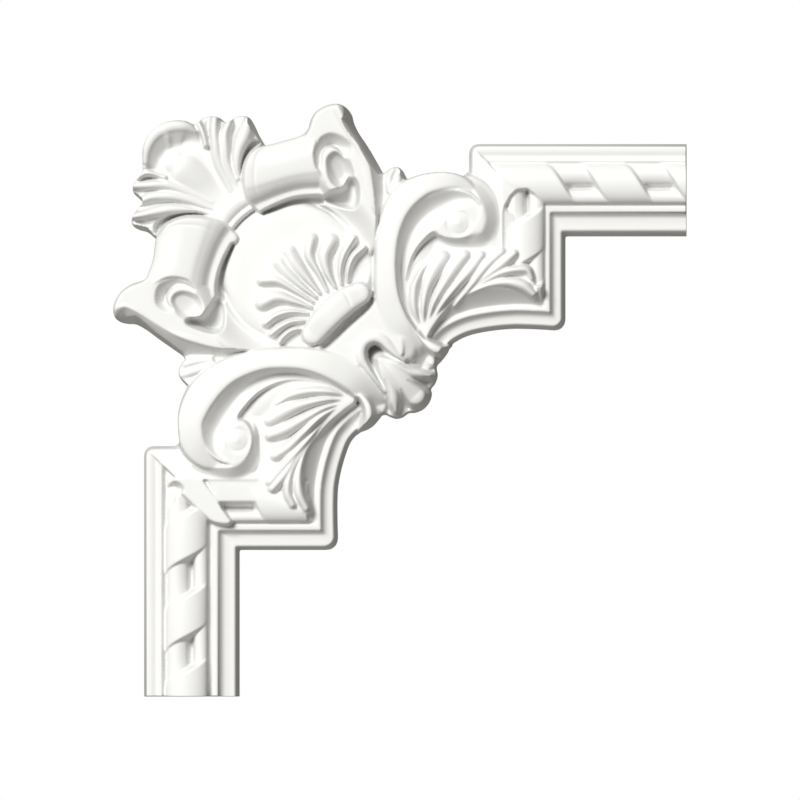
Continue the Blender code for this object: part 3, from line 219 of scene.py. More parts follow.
def mitred_frame(relief, plain, moulded, arm, upright, hollow, region):
    """One mitred frame. Its distances run in from its two outer edges and from its inner edges."""
    place = higher(step(*arm), lower(step(*upright), step(*hollow), 0.2), 0.2)
    deep = place > 4.9
    body = inner_moulding(place)
    rise = hollow[0] - hollow[1][4]
    covers = (rise > 0) & (rise < 14)
    shade = FILLET - 2 + 13.5 * np.clip(rise / 11, 0, 1) ** 1.15
    body = np.where(deep & covers, np.maximum(body, shade), body)
    slab = np.interp(plain, [1.4, 16], [BAND, 19.5])
    on_plain = plain < moulded
    edge = np.where(on_plain, slab, outer_moulding(moulded))
    near = np.where(on_plain, ~covers, moulded < 11.4)
    height = np.where(near & deep, edge, np.minimum(np.where(near, edge, FREE), body))
    wall = np.interp(lower(plain, moulded, 5), [-3, 0, 0.8, 1.4, 2], [-20, 0, BAND - 0.6, BAND, FREE])
    height = np.minimum(height, wall)
    foot = lower(upright[0], hollow[0], 7)
    corner = (np.abs(upright[0]) < 9) & (np.abs(hollow[0]) < 9)
    wall = np.interp(foot, [-3, 0, 1.8, 2.4], [-9, 0, INNER, FREE])
    height = np.where(corner, np.minimum(height, wall), height)
    relief.lay(np.s_[:, :], np.where(region, height, FLOOR), 0.3)


def signed(relief, line, flip, reach=60):
    """Distance from a line over the whole grid, plus on one side."""
    distance = np.full(relief.u.shape, float(reach))
    place, near, side, _ = relief.along(smooth(line), reach)
    distance[place] = np.where(side == 0, reach, near * side * flip)
    return distance


u, v = relief.u, relief.v
beyond = FREE * (v < 22)
mitred_frame(
    relief,
    plain=u - 84.75 + beyond,
    moulded=77.75 - v,
    arm=(v - 31.75, [0, 2.6, 9.3, 12, 15]),
    upright=(132.75 - u, [0, 2.2, 5.7, 7.9, 10.6]),
    hollow=(signed(relief, RIGHT_HOLLOW, 1), [0, 2, 6.2, 9, 11]),
    region=(u > 60) & (v > -32),
)
beyond = FREE * (u > -12)
mitred_frame(
    relief,
    plain=-73.25 - v + beyond,
    moulded=u + 77.75,
    arm=(-30.15 - u, [0, 1.9, 7.65, 10.55, 12.9]),
    upright=(v + 125, [0, 1.8, 7.8, 10, 13]),
    hollow=(signed(relief, LEFT_HOLLOW, -1), [0, 2, 5.5, 8.4, 10.4]),
    region=(v < -52) & (u < 36),
)


# The ropes in the frames' hollows: two reeds bound by a broad ribbon, carved in the master and cast in
# the same foam. Each frame has a long run on its arm and a short one beside the leaves.


def hollow(relief, points, floor, slope=8.0, reach=4):
    """A pocket with its floor in a closed outline, its sides rising outside it."""
    place, depth = relief.inside(smooth(points, closed=True), reach)
    floor = floor(relief.u[place], relief.v[place]) if callable(floor) else floor
    side = np.where(depth <= -reach, FREE, slope * np.maximum(-depth, 0))
    relief.cut(place, floor + side, 1.2)


def rope(relief, p, q, half, lean, ribbons, reeds, region):
    """Reeds bound by a ribbon: p runs along the rope and q across it; ribbons are spans at mid-height."""
    winding = np.arcsin(np.clip(q / half, -1, 1)) * half * 2 / np.pi
    skew = p - lean * winding
    edge = np.full(p.shape, -50.0)
    for start, stop in ribbons:
        edge = np.maximum(edge, np.minimum(skew - start, stop - skew))
    ribbon = ROPE_BED + 2 + (ROPE_CROWN - ROPE_BED - 2) * (1 - quarter(np.abs(q) / half))
    ribbon = ribbon - 1.0 * quarter(1 - edge / 1.4) - 3.5 * np.maximum(-edge, 0)
    height = ribbon - WALL * np.maximum(np.abs(q) - half, 0)
    for middle, width in reeds:
        off = np.abs(q - middle)
        reed = REED_CROWN - 0.95 * width * quarter(off / width) - WALL * np.maximum(off - width, 0)
        height = np.maximum(height, reed)
    region = region & (np.abs(q) < half + 2)
    bed = ROPE_BED - 2.2 * ease((half - 1.5 - np.abs(q)) / 1.5)
    relief.z = np.where(region & (np.abs(q) < half), np.minimum(relief.z, bed), relief.z)
    relief.lay(np.s_[:, :], np.where(region, height, FLOOR), 0.3)


q = 58 - v
region = (u > 104 + q * 0.9) & (u < RIGHT_END)
rope(relief, u, q, 10, 0.92, [(60, 131), (147.7, 170), (187.3, 240)], [(-4.6, 5.3), (6.7, 3.7)], region)
q = u - 111.7
window = [(101.5, 44), (102.5, 46.5), (105, 51.5), (108, 54.5), (113, 55), (117, 52.5), (122.5, 47)]
place, depth = relief.inside(np.array(window + [(122.5, 7), (101.5, 7)]), 1)
region = np.zeros(u.shape, bool)
region[place] = depth > 0
rope(relief, -v, q, 10.4, -0.86, [(-40, -18.5), (-3, 60)], [(-4.6, 5.2), (6.4, 3.9)], region)
shore = [(96, 8), (96, 46), (101.8, 46.6), (104, 44), (106.5, 42), (107.5, 38), (107.5, 8)]
mass(relief, shore, lambda u, v: 19.5 - 0.22 * np.maximum(u - 96, 0), 16, 0.6)
q = u + 56.2
region = (v < -98.3 - q) & (v > LEFT_END)
ribbons = [(106.5, 128.8), (147.4, 167.7), (184.8, 240)]
rope(relief, -v, q, 10.6, -0.80, ribbons, [(-4.7, 5.4), (7, 3.6)], region)
corner = [
    (-64, -90.5), (-60.5, -95), (-47.5, -107.5), (-43, -111), (-34.5, -111.5), (-47.5, -90.5), (-55, -87),
]
mass(relief, corner, 19.6, 18.2, 1.6)
hollow(relief, [(-66, -94), (-63, -92.6), (-60, -94.6), (-62.5, -97), (-64.3, -102), (-66, -101)], 12, 3)
q = -100.5 - v
region = (u > -47.5 - (v + 90.5) / 1.46) & (u < 4) & (v > -112.5)
rope(relief, u, q, 10.6, 0.62, [(-22, 60)], [(-4.6, 5.8), (7.6, 2.8)], region)
shore = [(-48, -86), (-14, -86), (-14, -90), (-18, -101.6), (-42, -101.6)]
place, depth = relief.inside(np.array(shore), 3)
relief.lay(place, np.where(depth > -1, np.minimum(19.2, 16.5 + 2.2 * depth), FLOOR), 1.5)


# The cupped shell at the outer corner: foam lobes that fan from the straps to both sides of a smooth
# tongue, with the shell's rim rolled over the heart-shaped hollow.
SHELL_EDGE = [
    (-72, 30.4), (-76, 33.7), (-80, 34.9), (-83, 36.6), (-84.2, 39), (-83.5, 42), (-80.8, 46),
    (-78.7, 48.6), (-80, 50.3), (-83, 53.3), (-83.6, 56.4), (-81.7, 60), (-78.9, 63.8), (-78.7, 69),
    (-78.6, 75.5), (-76.4, 81.2), (-72, 86), (-67, 88.8), (-62, 89.8), (-57, 89.4), (-52.6, 87.9),
    (-48.6, 90.6), (-44.2, 91.8), (-40, 90.9), (-36.6, 88.6), (-32.5, 91), (-28.5, 92), (-25.2, 91),
    (-22.8, 87.5), (-20.2, 82), (-17.4, 77.3),
]


def rib(relief, stations, drop=None, wall=WALL, fillet=0.5, power=2.0, tilt=0.0):
    """A rounded rib. Each station is its place, half-width and crown height; the sides fall by drop."""
    line = smooth(stations)
    place, distance, side, (width, crown) = relief.along(line, line[:, 2].max() + 9)
    width = np.maximum(width, 0.2)
    fall = width if drop is None else drop
    across = np.minimum(distance / width, 1)
    height = crown - fall * (1 - (1 - across**power) ** (1 / power)) + tilt * side * distance
    relief.lay(place, height - wall * np.maximum(distance - width, 0), fillet)


def ribs(relief, many, **shape):
    for stations in many:
        rib(relief, stations, **shape)


def dish(relief, points, edge, slope, floor):
    """A pocket that falls from its edge's height at a slope down to its floor."""
    place, depth = relief.inside(smooth(points, closed=True), 9)
    height = np.where(depth > 0, np.maximum(edge - slope * depth, floor), edge - WALL * depth)
    relief.cut(place, np.where(depth > -2.9, height, FREE), 1.2)


def groove(relief, stations, sharp=2.0):
    """A valley. Each station is its place, half-width and depth."""
    line = smooth(stations)
    place, distance, _, (width, deep) = relief.along(line, line[:, 2].max() + 1)
    share = np.clip(1 - distance / np.maximum(width, 0.2), 0, 1)
    relief.z[place] -= np.maximum(deep, 0) * share**sharp * (relief.z[place] > 0)


inner = [(-22, 66), (-27, 52), (-33, 42), (-44, 36), (-60, 32)]
mass(
    relief, SHELL_EDGE + inner,
    lambda u, v: np.clip(18.5 - 0.055 * (np.hypot(u + 62, v - 70) - 12), 13.5, 19), 15, 2.6,
)
tongue = [
    (-62, 68, 5.5, 23), (-58.5, 65.5, 7.5, 24), (-52, 60, 7.5, 22.5), (-45, 53, 6, 19.5),
    (-38, 47, 4.5, 18),
]
rib(relief, tongue, drop=4.5, fillet=3.5, wall=0.8)
rim = [
    (-77, 66.5, 1.6, 24), (-76, 75, 2.2, 26.5), (-72, 82.2, 2.8, 27.5), (-64.5, 86, 2.8, 27.5),
    (-57, 86.2, 2.4, 26.5), (-51.8, 84, 1.6, 23.5),
]
rib(relief, rim, drop=2.0, fillet=1.5, wall=0.95)
notch = [(-67, 84, 2.0, 27), (-65.6, 80.5, 1.6, 25), (-65, 77, 1.0, 21)]
rib(relief, notch, drop=1.5, fillet=1.5, wall=1.3)
heart = [
    (-74.4, 67.5), (-73.9, 73.4), (-71, 77.8), (-67, 79), (-64.6, 76.8), (-62, 80.2), (-58, 81),
    (-55, 78.6), (-55.5, 74), (-58, 69.5), (-62.5, 66), (-67.5, 63.5), (-72.2, 63),
]
dish(relief, heart, 27, 1.25, 14)
lobes = [
    [(-80.8, 60.3, 1.3, 21), (-77, 62.9, 1.2, 22), (-72, 62.6, 1.2, 22), (-67, 60.6, 1.2, 21.5)],
    [(-82.2, 56.8, 1.8, 21), (-76, 57, 2.0, 22.5), (-68, 57.3, 2.4, 22.5), (-60, 55.3, 2.4, 21),
     (-44, 48.5, 1.8, 17.5)],
    [(-80, 48.6, 1.6, 20.5), (-74.5, 51, 2.0, 22), (-66, 51.6, 2.3, 22.5), (-57, 50.2, 2.0, 21),
     (-42, 45, 1.4, 17)],
    [(-82.3, 41.5, 1.6, 20.5), (-77, 42.6, 1.8, 22), (-70, 44.2, 2.2, 22.5), (-61, 45.3, 2.0, 21.5),
     (-45, 42.8, 1.2, 17)],
    [(-79, 35.5, 1.0, 16), (-74, 34.5, 1.5, 16)],
    [(-50.2, 87.6, 1.3, 21.5), (-48, 82.5, 1.3, 22.5), (-46.6, 77, 1.3, 22)],
    [(-42.3, 90, 1.8, 21.5), (-42.6, 84, 2.1, 22.5), (-42, 77, 2.4, 22.5), (-40.6, 69, 2.4, 21),
     (-34, 54, 1.6, 17.5)],
    [(-35.2, 88.2, 1.8, 21.5), (-37.2, 83, 2.0, 22.5), (-37.2, 76, 2.2, 22.5), (-36.4, 68, 2.0, 21),
     (-31, 55, 1.4, 17)],
    [(-25.5, 88.5, 2.4, 21), (-27.8, 82, 3.3, 22.5), (-30.6, 75, 2.6, 22.5), (-31.5, 68, 2.1, 21),
     (-30.3, 61, 1.6, 18.5)],
    [(-26.5, 83, 2.6, 21.5), (-22.9, 86, 1.2, 18)],
]
lobes = [[(u, v, width + 0.3, crown + 2) for u, v, width, crown in lobe] for lobe in lobes]
ribs(relief, lobes, drop=4.4, fillet=0.4, wall=5)
for valley in (
    [(-52.4, 86.8, 1.2, 2), (-49.9, 82, 1.6, 3), (-48.6, 77, 1.2, 2)],
    [(-78, 67, 1.2, 2), (-73, 64.6, 1.6, 3), (-68.6, 62.3, 1.2, 2)],
    [(-79.8, 58.8, 1.0, 1.5), (-76.5, 60.3, 1.9, 3), (-72, 60.2, 1.8, 2.6), (-67, 58.6, 1.2, 1.2)],
    [(-45.8, 89, 1.5, 1.5), (-45.9, 85.5, 1.9, 3), (-45, 80, 1.5, 2.2), (-44.4, 74, 1.0, 1)],
    [(-82.2, 39.6, 1.4, 2), (-79, 38.7, 2.0, 3.4), (-75, 37.4, 1.6, 2)],
):
    groove(relief, valley)
gap = [(-19, 78.5), (-23.5, 78.6), (-27.3, 72), (-28.8, 64), (-28.3, 60.5), (-27, 66), (-24.5, 72.5)]
hollow(relief, gap, 11)
gap = [(-70.8, 32.8), (-71.8, 36.8), (-66, 40.8), (-52, 42.7), (-46, 41.6), (-60, 40.6), (-66, 37.8)]
hollow(relief, gap, 11)


# The round shield in the middle: a shallow foam dome with a rounded rim, and two reeds round it where
# the straps leave it bare.
SHIELD = (-4.0, 14.0)
SHIELD_RADIUS = 34.2
SHIELD_CROWN = 22.5
radius = np.hypot(relief.u - SHIELD[0], relief.v - SHIELD[1])
between = (relief.v - relief.u > 48) & (relief.v > 24)
for middle, width, crown, region in ((43.9, 5.0, 21.5, between), (37.7, 1.6, 19.5, radius > 0)):
    off = np.abs(radius - middle)
    reed = crown - 0.9 * width * quarter(off / width) - WALL * np.maximum(off - width, 0)
    relief.lay(np.s_[:, :], np.where(region, reed, FLOOR), 0.4)
rim = 4.5 * quarter((radius - SHIELD_RADIUS + 6) / 6.2)
dome = SHIELD_CROWN - 1.5 * (radius / SHIELD_RADIUS) ** 2
dome = dome - rim - 3 * np.maximum(radius - SHIELD_RADIUS, 0)
relief.lay(np.s_[:, :], np.where(radius < SHIELD_RADIUS + 6, dome, FLOOR), 0.5)


# The right strap: a thick band of the same foam that rolls over the shield's upper edge like cut leather,
# with the end of the roll showing as a curl beside its pointed tip.
STRAP_CROWN = 31.0
RIGHT_STRAP_EDGE = [
    (-17, 77.3), (-14, 77.9), (-8, 79.6), (-1.5, 81.4), (2, 83.2), (4.1, 85.8), (5.1, 89.3), (7.4, 93.5),
    (11.5, 96.4), (16.5, 98), (20.2, 97.8), (23.4, 95.9), (25.9, 92.5), (27.2, 88), (29.2, 83.8),
    (34, 76.5), (39, 68), (41.4, 63.6),
]


def bevel(relief, stations, slope, left):
    """Cuts a slope down from a line to one side. Each station is its place and height."""
    place, distance, side, (height,) = relief.along(smooth(stations), 9)
    beyond = (side * left > 0) & (distance < 8.9)
    relief.cut(place, np.where(beyond, height - slope * distance, FREE), 2)


def strap_top(u, v):
    """A strap's back: it stands up from the shield's rim and levels off."""
    radius = np.hypot(u - SHIELD[0], v - SHIELD[1])
    return 17.5 + (STRAP_CROWN - 18) * ease((radius - SHIELD_RADIUS) / 15)


def rolled(relief, outer, lip, outline):
    """The rolled body of a strap: its height follows the share of the way from outer edge to lip."""
    profile = smooth([
        (0, 25), (0.05, 28), (0.12, 30.2), (0.25, 32.2), (0.4, 33), (0.55, 32.8), (0.68, 31.3),
        (0.78, 28.6), (0.85, 25), (0.9, 24.2), (0.95, 24.2), (1, 22.5),
    ])
    a = signed(relief, outer, 1, 50)
    b = signed(relief, lip, 1, 50)
    share = np.abs(a) / (np.abs(a) + np.abs(b) + 1e-6)
    place, depth = relief.inside(smooth(outline, closed=True), 6)
    height = np.interp(share[place], profile[:, 0], profile[:, 1])
    height = height - 1.6 * quarter(1 - depth / 0.8) - WALL * np.maximum(-depth, 0)
    relief.lay(place, np.where(depth > -5.9, height, FLOOR), 0.4)


inner = [(41.5, 52), (39.6, 36), (37, 24), (31, 20), (22, 36), (12, 50), (8, 60), (3, 72), (1, 79)]
mass(relief, RIGHT_STRAP_EDGE[5:] + inner, strap_top, 17, 2.2)
side = [
    (20.3, 95.5, 31), (24, 87.5, 31), (30, 78, 31), (35, 67, 30), (37, 57, 28.5), (38.4, 45, 25),
    (39, 36, 22),
]
crest = [
    (19, 95, 2.6, 31.5), (22.3, 88, 2.2, 31.5), (28, 79, 2.4, 31.2), (33, 68.5, 2.6, 30.6),
    (35, 55, 2.6, 29), (36.2, 42, 2.4, 26.5), (37.2, 33, 2.0, 22),
]
rib(relief, crest, drop=2.6, fillet=3)
bevel(relief, side, 1.7, 1)
body = [
    (-17.4, 77.4), (-8, 79.6), (0, 81.8), (6, 82.5), (8.2, 79), (7.4, 71.5), (9.4, 65), (13, 60), (20, 58),
    (24, 58.5), (21.5, 55), (15, 51.8), (8, 51.1), (-1, 50.8), (-10, 47.9), (-18.4, 42.8), (-22.5, 45.8),
    (-26.2, 51.5), (-27.7, 60), (-26.5, 68), (-23.3, 73.4),
]
lip = [(-19, 43.2), (-10, 47.9), (0, 50.9), (10, 51.3), (18, 52.8), (24, 57)]
rolled(relief, [(-17.4, 77.6), (-8, 79.9), (0, 82.3), (8, 85), (16, 88)], lip, body)
pocket = [
    (9.5, 64.5), (7.6, 71), (8.2, 76), (10.5, 80.5), (15, 82.7), (20.5, 81.5), (26, 76.5), (24, 70),
    (18, 66),
]
dish(relief, pocket, 30.5, 2.0, 18)
curl = [
    (14.2, 75.8), (18, 75.3), (21.5, 72), (24, 67.5), (25.2, 62.5), (24.3, 58.5), (20.5, 54.5), (15, 54),
    (12, 60), (10.8, 67), (11.4, 72.8),
]
mass(relief, curl, 30.5, 28.5, 1.6)
inside = [(17.6, 72), (20, 70), (22, 65.5), (22.6, 61.5), (21, 59.6), (18, 62), (15.8, 66), (15.2, 70)]
hollow(relief, inside, lambda u, v: 28 - 0.48 * ((u - 14) - (v - 72)), 2.2)
hollow(relief, [(24.9, 59.5), (27.2, 57), (27.6, 50), (26.4, 46.6), (13, 50.2), (20, 53.2), (23, 55.5)], 12)
under = [
    (-18, 43), (-10, 47), (-3, 49.5), (4, 50.5), (11, 50.3), (11.5, 48.4), (3, 48.3), (-5, 47.3),
    (-12, 44.8),
]
hollow(relief, under, 13)
hem = [
    (-17, 77, 0.9, 0.3), (-20.8, 72, 1.0, 0.5), (-22.4, 65, 1.0, 0.5), (-22.3, 57, 1.0, 0.5),
    (-20, 48, 0.9, 0.4),
]
groove(relief, hem)


# The left strap: the other band, rolled over the shield's left edge in the same way, with a wider curl
# and a longer tip that runs on under the scroll. It is foam and part of the same casting.
LEFT_STRAP_EDGE = [
    (-57.5, -29.6), (-58.4, -28.2), (-62, -25.6), (-70, -20), (-77.4, -14.6), (-82, -12.3), (-86, -12),
    (-89.6, -11.1), (-92.3, -9), (-93.4, -5), (-92.4, -0.5), (-89, 4.6), (-84, 8), (-80, 9.3),
    (-77.3, 10.4), (-75.6, 14), (-73.6, 20), (-72.3, 29.5),
]
inner = [
    (-76, 12), (-68, 12), (-56, 12), (-46, 8), (-36, 2), (-26, -9), (-16, -19), (-6, -24), (-8, -28),
    (-30, -29.5), (-45, -29.5),
]
mass(relief, LEFT_STRAP_EDGE[:-4] + inner, strap_top, 17, 2.2)
side = [
    (-91, -5, 31), (-87, -3.8, 31), (-80, -6.8, 31), (-70, -12.8, 31), (-60, -18.8, 30), (-50, -22.3, 29),
    (-40, -24.7, 26.5), (-25, -25.3, 23),
]
crest = [
    (-87, -4.5, 2.4, 31), (-82, -6.5, 2.3, 31.3), (-75, -11.5, 2.4, 31), (-66, -17.5, 2.6, 30.8),
    (-55, -20, 2.6, 30), (-43, -22.8, 2.4, 28), (-30, -24, 2.0, 24.5),
]
rib(relief, crest, drop=2.6, fillet=3)
bevel(relief, side, 1.7, -1)
body = [
    (-72.2, 30.2), (-73.5, 20), (-75.6, 14), (-77, 10), (-73.5, 7), (-70.5, 8.5), (-66, 10.5), (-61, 10.8),
    (-55, 9), (-52, 4), (-50.5, -4), (-51, -9), (-47, -9.6), (-43, -3.5), (-41, 4), (-40.2, 11),
    (-37.8, 18.5), (-34.5, 25), (-30.4, 30.4), (-33, 34), (-39, 38.2), (-48, 40.4), (-58, 40.4), (-66, 37),
    (-69.7, 32.5),
]
lip = [(-30, 31), (-34.5, 25.5), (-37.8, 19), (-40.2, 12), (-41.2, 5), (-42.4, -2), (-46, -9)]
rolled(relief, [(-72, 31), (-73.8, 20), (-75.8, 14), (-78, 9), (-82, 2)], lip, body)
pocket = [(-71, -3), (-71.8, 2), (-70, 7), (-63, 10), (-57, 8.6), (-52, 5), (-54, -1), (-60, -5), (-66, -6)]
dish(relief, pocket, 30.5, 2.0, 18)
curl = [
    (-66, -0.5), (-64.3, 4.4), (-60.8, 6.9), (-55.5, 6.2), (-51, 3), (-48.5, -3), (-48.6, -8.2),
    (-52.5, -10.6), (-57, -9.8), (-62, -6.5),
]
mass(relief, curl, 30, 28, 1.6)
inside = [
    (-62.2, -0.7), (-61.4, 1.6), (-59, 2.6), (-55.6, 1.8), (-52.4, -0.5), (-51.6, -4), (-53.2, -6.8),
    (-58, -5.8),
]
hollow(relief, inside, lambda u, v: 27.4 - 0.27 * ((u + 63) - (v - 2)), 2.2)
foot = [
    (-47.5, -9.7), (-43.2, -4), (-40.8, 0.5), (-38.6, -3), (-38.2, -10), (-39.5, -14), (-42.5, -14.8),
    (-50, -12.8), (-54.5, -10.8), (-51, -10.6),
]
hollow(relief, foot, lambda u, v: 12 + 0.3 * np.maximum(u + 46, 0))
under = [
    (-33, 27), (-36.8, 20), (-39.6, 12), (-40.6, 5), (-39.6, 0.5), (-38, -0.5), (-38.4, 6), (-37.6, 14),
    (-35, 22),
]
hollow(relief, under, 13)
hem = [
    (-68, 34, 0.9, 0.3), (-62, 36.6, 1.0, 0.5), (-55, 37, 1.0, 0.5), (-47, 35.8, 1.0, 0.5),
    (-38, 31, 0.9, 0.4),
]
groove(relief, hem)


# The fan over the shield: eleven rounded flutes that open from the bar, carved in the master and cast
# in foam with soft valleys between them.
bed = [
    (34, 8), (35, 22), (28, 31), (14, 34), (2, 30), (-8, 24), (-14, 17), (-21, 8), (-22, -4), (-20, -13),
    (-12, -21), (2, -21), (10, -8), (24, 4),
]
mass(relief, bed, 20.5, 19, 3.5, fillet=1.5, wall=1.5)
hollow(relief, [(34.6, 18), (31, 15.5), (29.5, 9), (32.5, 8.2), (34.2, 12)], 20.5, 2)
hollow(relief, [(-7.5, -21.8), (-5, -18.8), (1.5, -17), (2, -20.5), (-3, -22)], 20.5, 2)
z = 27.4
flutes = [
    [(24, 9, 1.0, z - 1), (24.3, 15, 1.6, z), (27, 21.5, 1.9, z + 0.5), (32, 26, 1.7, z - 0.5)],
    [(20.8, 7.5, 1.0, z - 1), (20.2, 15, 1.6, z), (22, 22.5, 2.2, z + 0.8), (26.8, 30.5, 1.9, z)],
    [(17.8, 6, 1.1, z - 1), (13.8, 14, 2.4, z + 0.5), (12.3, 22, 3.6, z + 1), (15.5, 29, 4.0, z)],
    [(14, 4, 0.8, z - 1), (9.3, 13.5, 1.7, z), (4.8, 22.5, 2.8, z + 0.6), (6, 30, 3.2, z)],
    [(10.2, 3, 0.9, z - 1), (3.5, 11, 2.6, z), (-2.5, 18.5, 4.0, z + 0.5), (-5, 23.5, 3.6, z)],
    [(8.2, 1, 0.9, z - 1), (0, 7.5, 2.4, z), (-6.5, 13.8, 3.7, z + 0.5), (-9.8, 18.2, 3.5, z)],
    [(6.8, -1.5, 0.8, z - 1), (-2.5, 4.6, 1.7, z), (-11, 9.4, 2.7, z + 0.6), (-18.5, 9.5, 2.8, z)],
    [(5.8, -4, 1.0, z - 1), (-3, -0.8, 2.2, z + 0.5), (-11.5, 1.2, 3.3, z + 1), (-18.5, -1.8, 3.6, z)],
    [(4.2, -7, 1.0, z - 1), (-4, -6, 1.6, z), (-11.5, -7.9, 2.0, z + 0.8), (-17, -12, 1.8, z)],
    [(2.8, -10.5, 1.0, z - 1), (-4.5, -11.2, 1.5, z), (-10.5, -14.3, 1.8, z), (-14, -17.2, 1.5, z - 0.5)],
    [(1.5, -14.5, 0.9, z - 1.5), (-4, -15.4, 1.3, z - 0.5), (-8.5, -19, 1.3, z - 1),
     (-10, -21.5, 1.1, z - 1.8)],
]
ribs(relief, flutes, drop=5.4, fillet=0.3, wall=4, power=1.7)


# The two small buds between strap and scroll: a pair of short foam leaves on each side, cast against
# the outer wall.
RIGHT_BUD_EDGE = [(41.9, 63.1), (45, 65.5), (48.5, 66.5), (51.2, 64.8), (53.3, 61)]
LEFT_BUD_EDGE = [(-56.2, -43.3), (-59.4, -39.8), (-60.7, -37), (-60, -33.4), (-57.9, -30.2)]
mass(relief, RIGHT_BUD_EDGE + [(51, 55), (45, 44), (40, 32), (37, 40), (39, 55)], 20, 18, 2.5)
mass(relief, LEFT_BUD_EDGE + [(-50, -26), (-30, -26), (-16, -29), (-40, -34), (-50, -40)], 20, 18, 2.5)
leaves = [
    [(45, 54, 1.8, 25), (44.6, 60, 1.9, 24), (46.6, 64.6, 1.6, 21)],
    [(46.5, 53.5, 1.8, 25.5), (49, 60, 1.9, 24.5), (50.2, 63.5, 1.7, 21)],
    [(-44, -29.8, 1.6, 24), (-51, -30.7, 1.9, 23), (-57, -32.3, 1.8, 21)],
    [(-43, -31.8, 1.6, 24), (-51, -35, 2.0, 23.5), (-58.3, -37.6, 1.9, 21)],
]
ribs(relief, leaves, drop=2.4)


# The drop below the shield: a smooth saddle, a hooked rim and three lobes over a low skirt, with the
# rolled ends of the two scroll bands beside them. It is cast in the same foam.
FOOT_EDGE = [
    (74.9, -24.4), (73.6, -27), (70.8, -30.6), (68.5, -33.4), (68.9, -38), (67.6, -42), (65.6, -44.7),
    (66, -47), (65, -50.8), (62, -54.5), (58, -56.4), (54.3, -56.8), (51.4, -58.8), (48.3, -59.5),
    (45.4, -58.7), (43, -57.6), (41.1, -57.9), (39.6, -59.8), (36.7, -63), (34, -64.8), (30.5, -66.1),
]
saddle = [
    (4, -26), (12, -22), (24, -11), (36, -0.5), (40, 6), (46, -8), (52, -22), (51, -28), (45, -22),
    (37, -18.5), (33, -22), (32.5, -29), (27, -35), (10, -31),
]
mass(relief, saddle, 26, 25, 1.5)
skirt = FOOT_EDGE + [(30, -58), (36, -44), (45, -30), (60, -24), (70, -26)]
mass(
    relief, skirt, lambda u, v: np.maximum(14.5 - 1.1 * np.maximum((u - v) / 1.414 - 64, 0), 9),
    7.5, 2.0, wall=4,
)
rim = [
    (42.4, -46, 0.7, 22), (38.4, -40.5, 1.1, 25), (34, -34.6, 1.7, 27), (30.9, -29.5, 2.5, 28),
    (30.4, -25, 2.7, 28.2), (32.6, -20.8, 2.7, 28.2), (37, -18.9, 2.7, 28.2), (41.2, -20.2, 2.6, 28),
    (45, -24, 2.2, 27.5), (49, -28, 1.5, 26.5), (52.5, -30.3, 0.8, 25),
]
rib(relief, rim, drop=2.6, fillet=2.5)
lobes = [
    [(38.9, -29.4, 1.0, 25.5), (41.6, -36, 2.3, 25.5), (44.8, -43, 2.9, 23.5), (46.9, -50, 2.7, 21),
     (48, -55.4, 1.0, 17.5)],
    [(39.8, -29.6, 1.4, 26), (46, -35.5, 3.4, 26), (52, -41.5, 4.6, 23.8), (57.8, -47.6, 5.0, 20)],
    [(40.4, -29, 1.0, 25.5), (47.5, -32.2, 2.4, 26), (54, -35.3, 2.7, 24), (60, -36.9, 2.2, 21.5),
     (65, -37.8, 1.0, 18)],
]
ribs(relief, lobes, drop=3.4, fillet=0.8, wall=3)
seam = [(47, -16), (55, -16), (60, -23), (57, -31), (52, -31), (48.5, -27.5)]
mass(relief, seam, lambda u, v: 26 - 0.22 * np.maximum(-20 - v, 0) - 0.4 * np.maximum(u - 51, 0), 15, 4)
for valley in (
    [(50.7, -44.5, 0.7, 1.5), (52.2, -49, 1.5, 4), (54.2, -54, 1.6, 3)],
    [(54, -40.2, 0.7, 1.5), (59, -42.6, 1.4, 4), (65, -45.6, 1.6, 3)],
    [(42.5, -40, 0.8, 1), (44.2, -47, 1.4, 3.5), (43.6, -54, 1.6, 4)],
    [(50, -31.8, 0.8, 1), (56, -34.2, 1.3, 3.5), (65, -33.5, 1.6, 4)],
):
    groove(relief, valley)


# The right scroll: a broad foam band that winds in round a well and up to a low boss, and falls away
# softly to the leaves. Its free end is rolled to a pale lip beside the drop.
BAND_SIDE, WELL_FLOOR, BOSS_TOP = 28, 19.5, 27


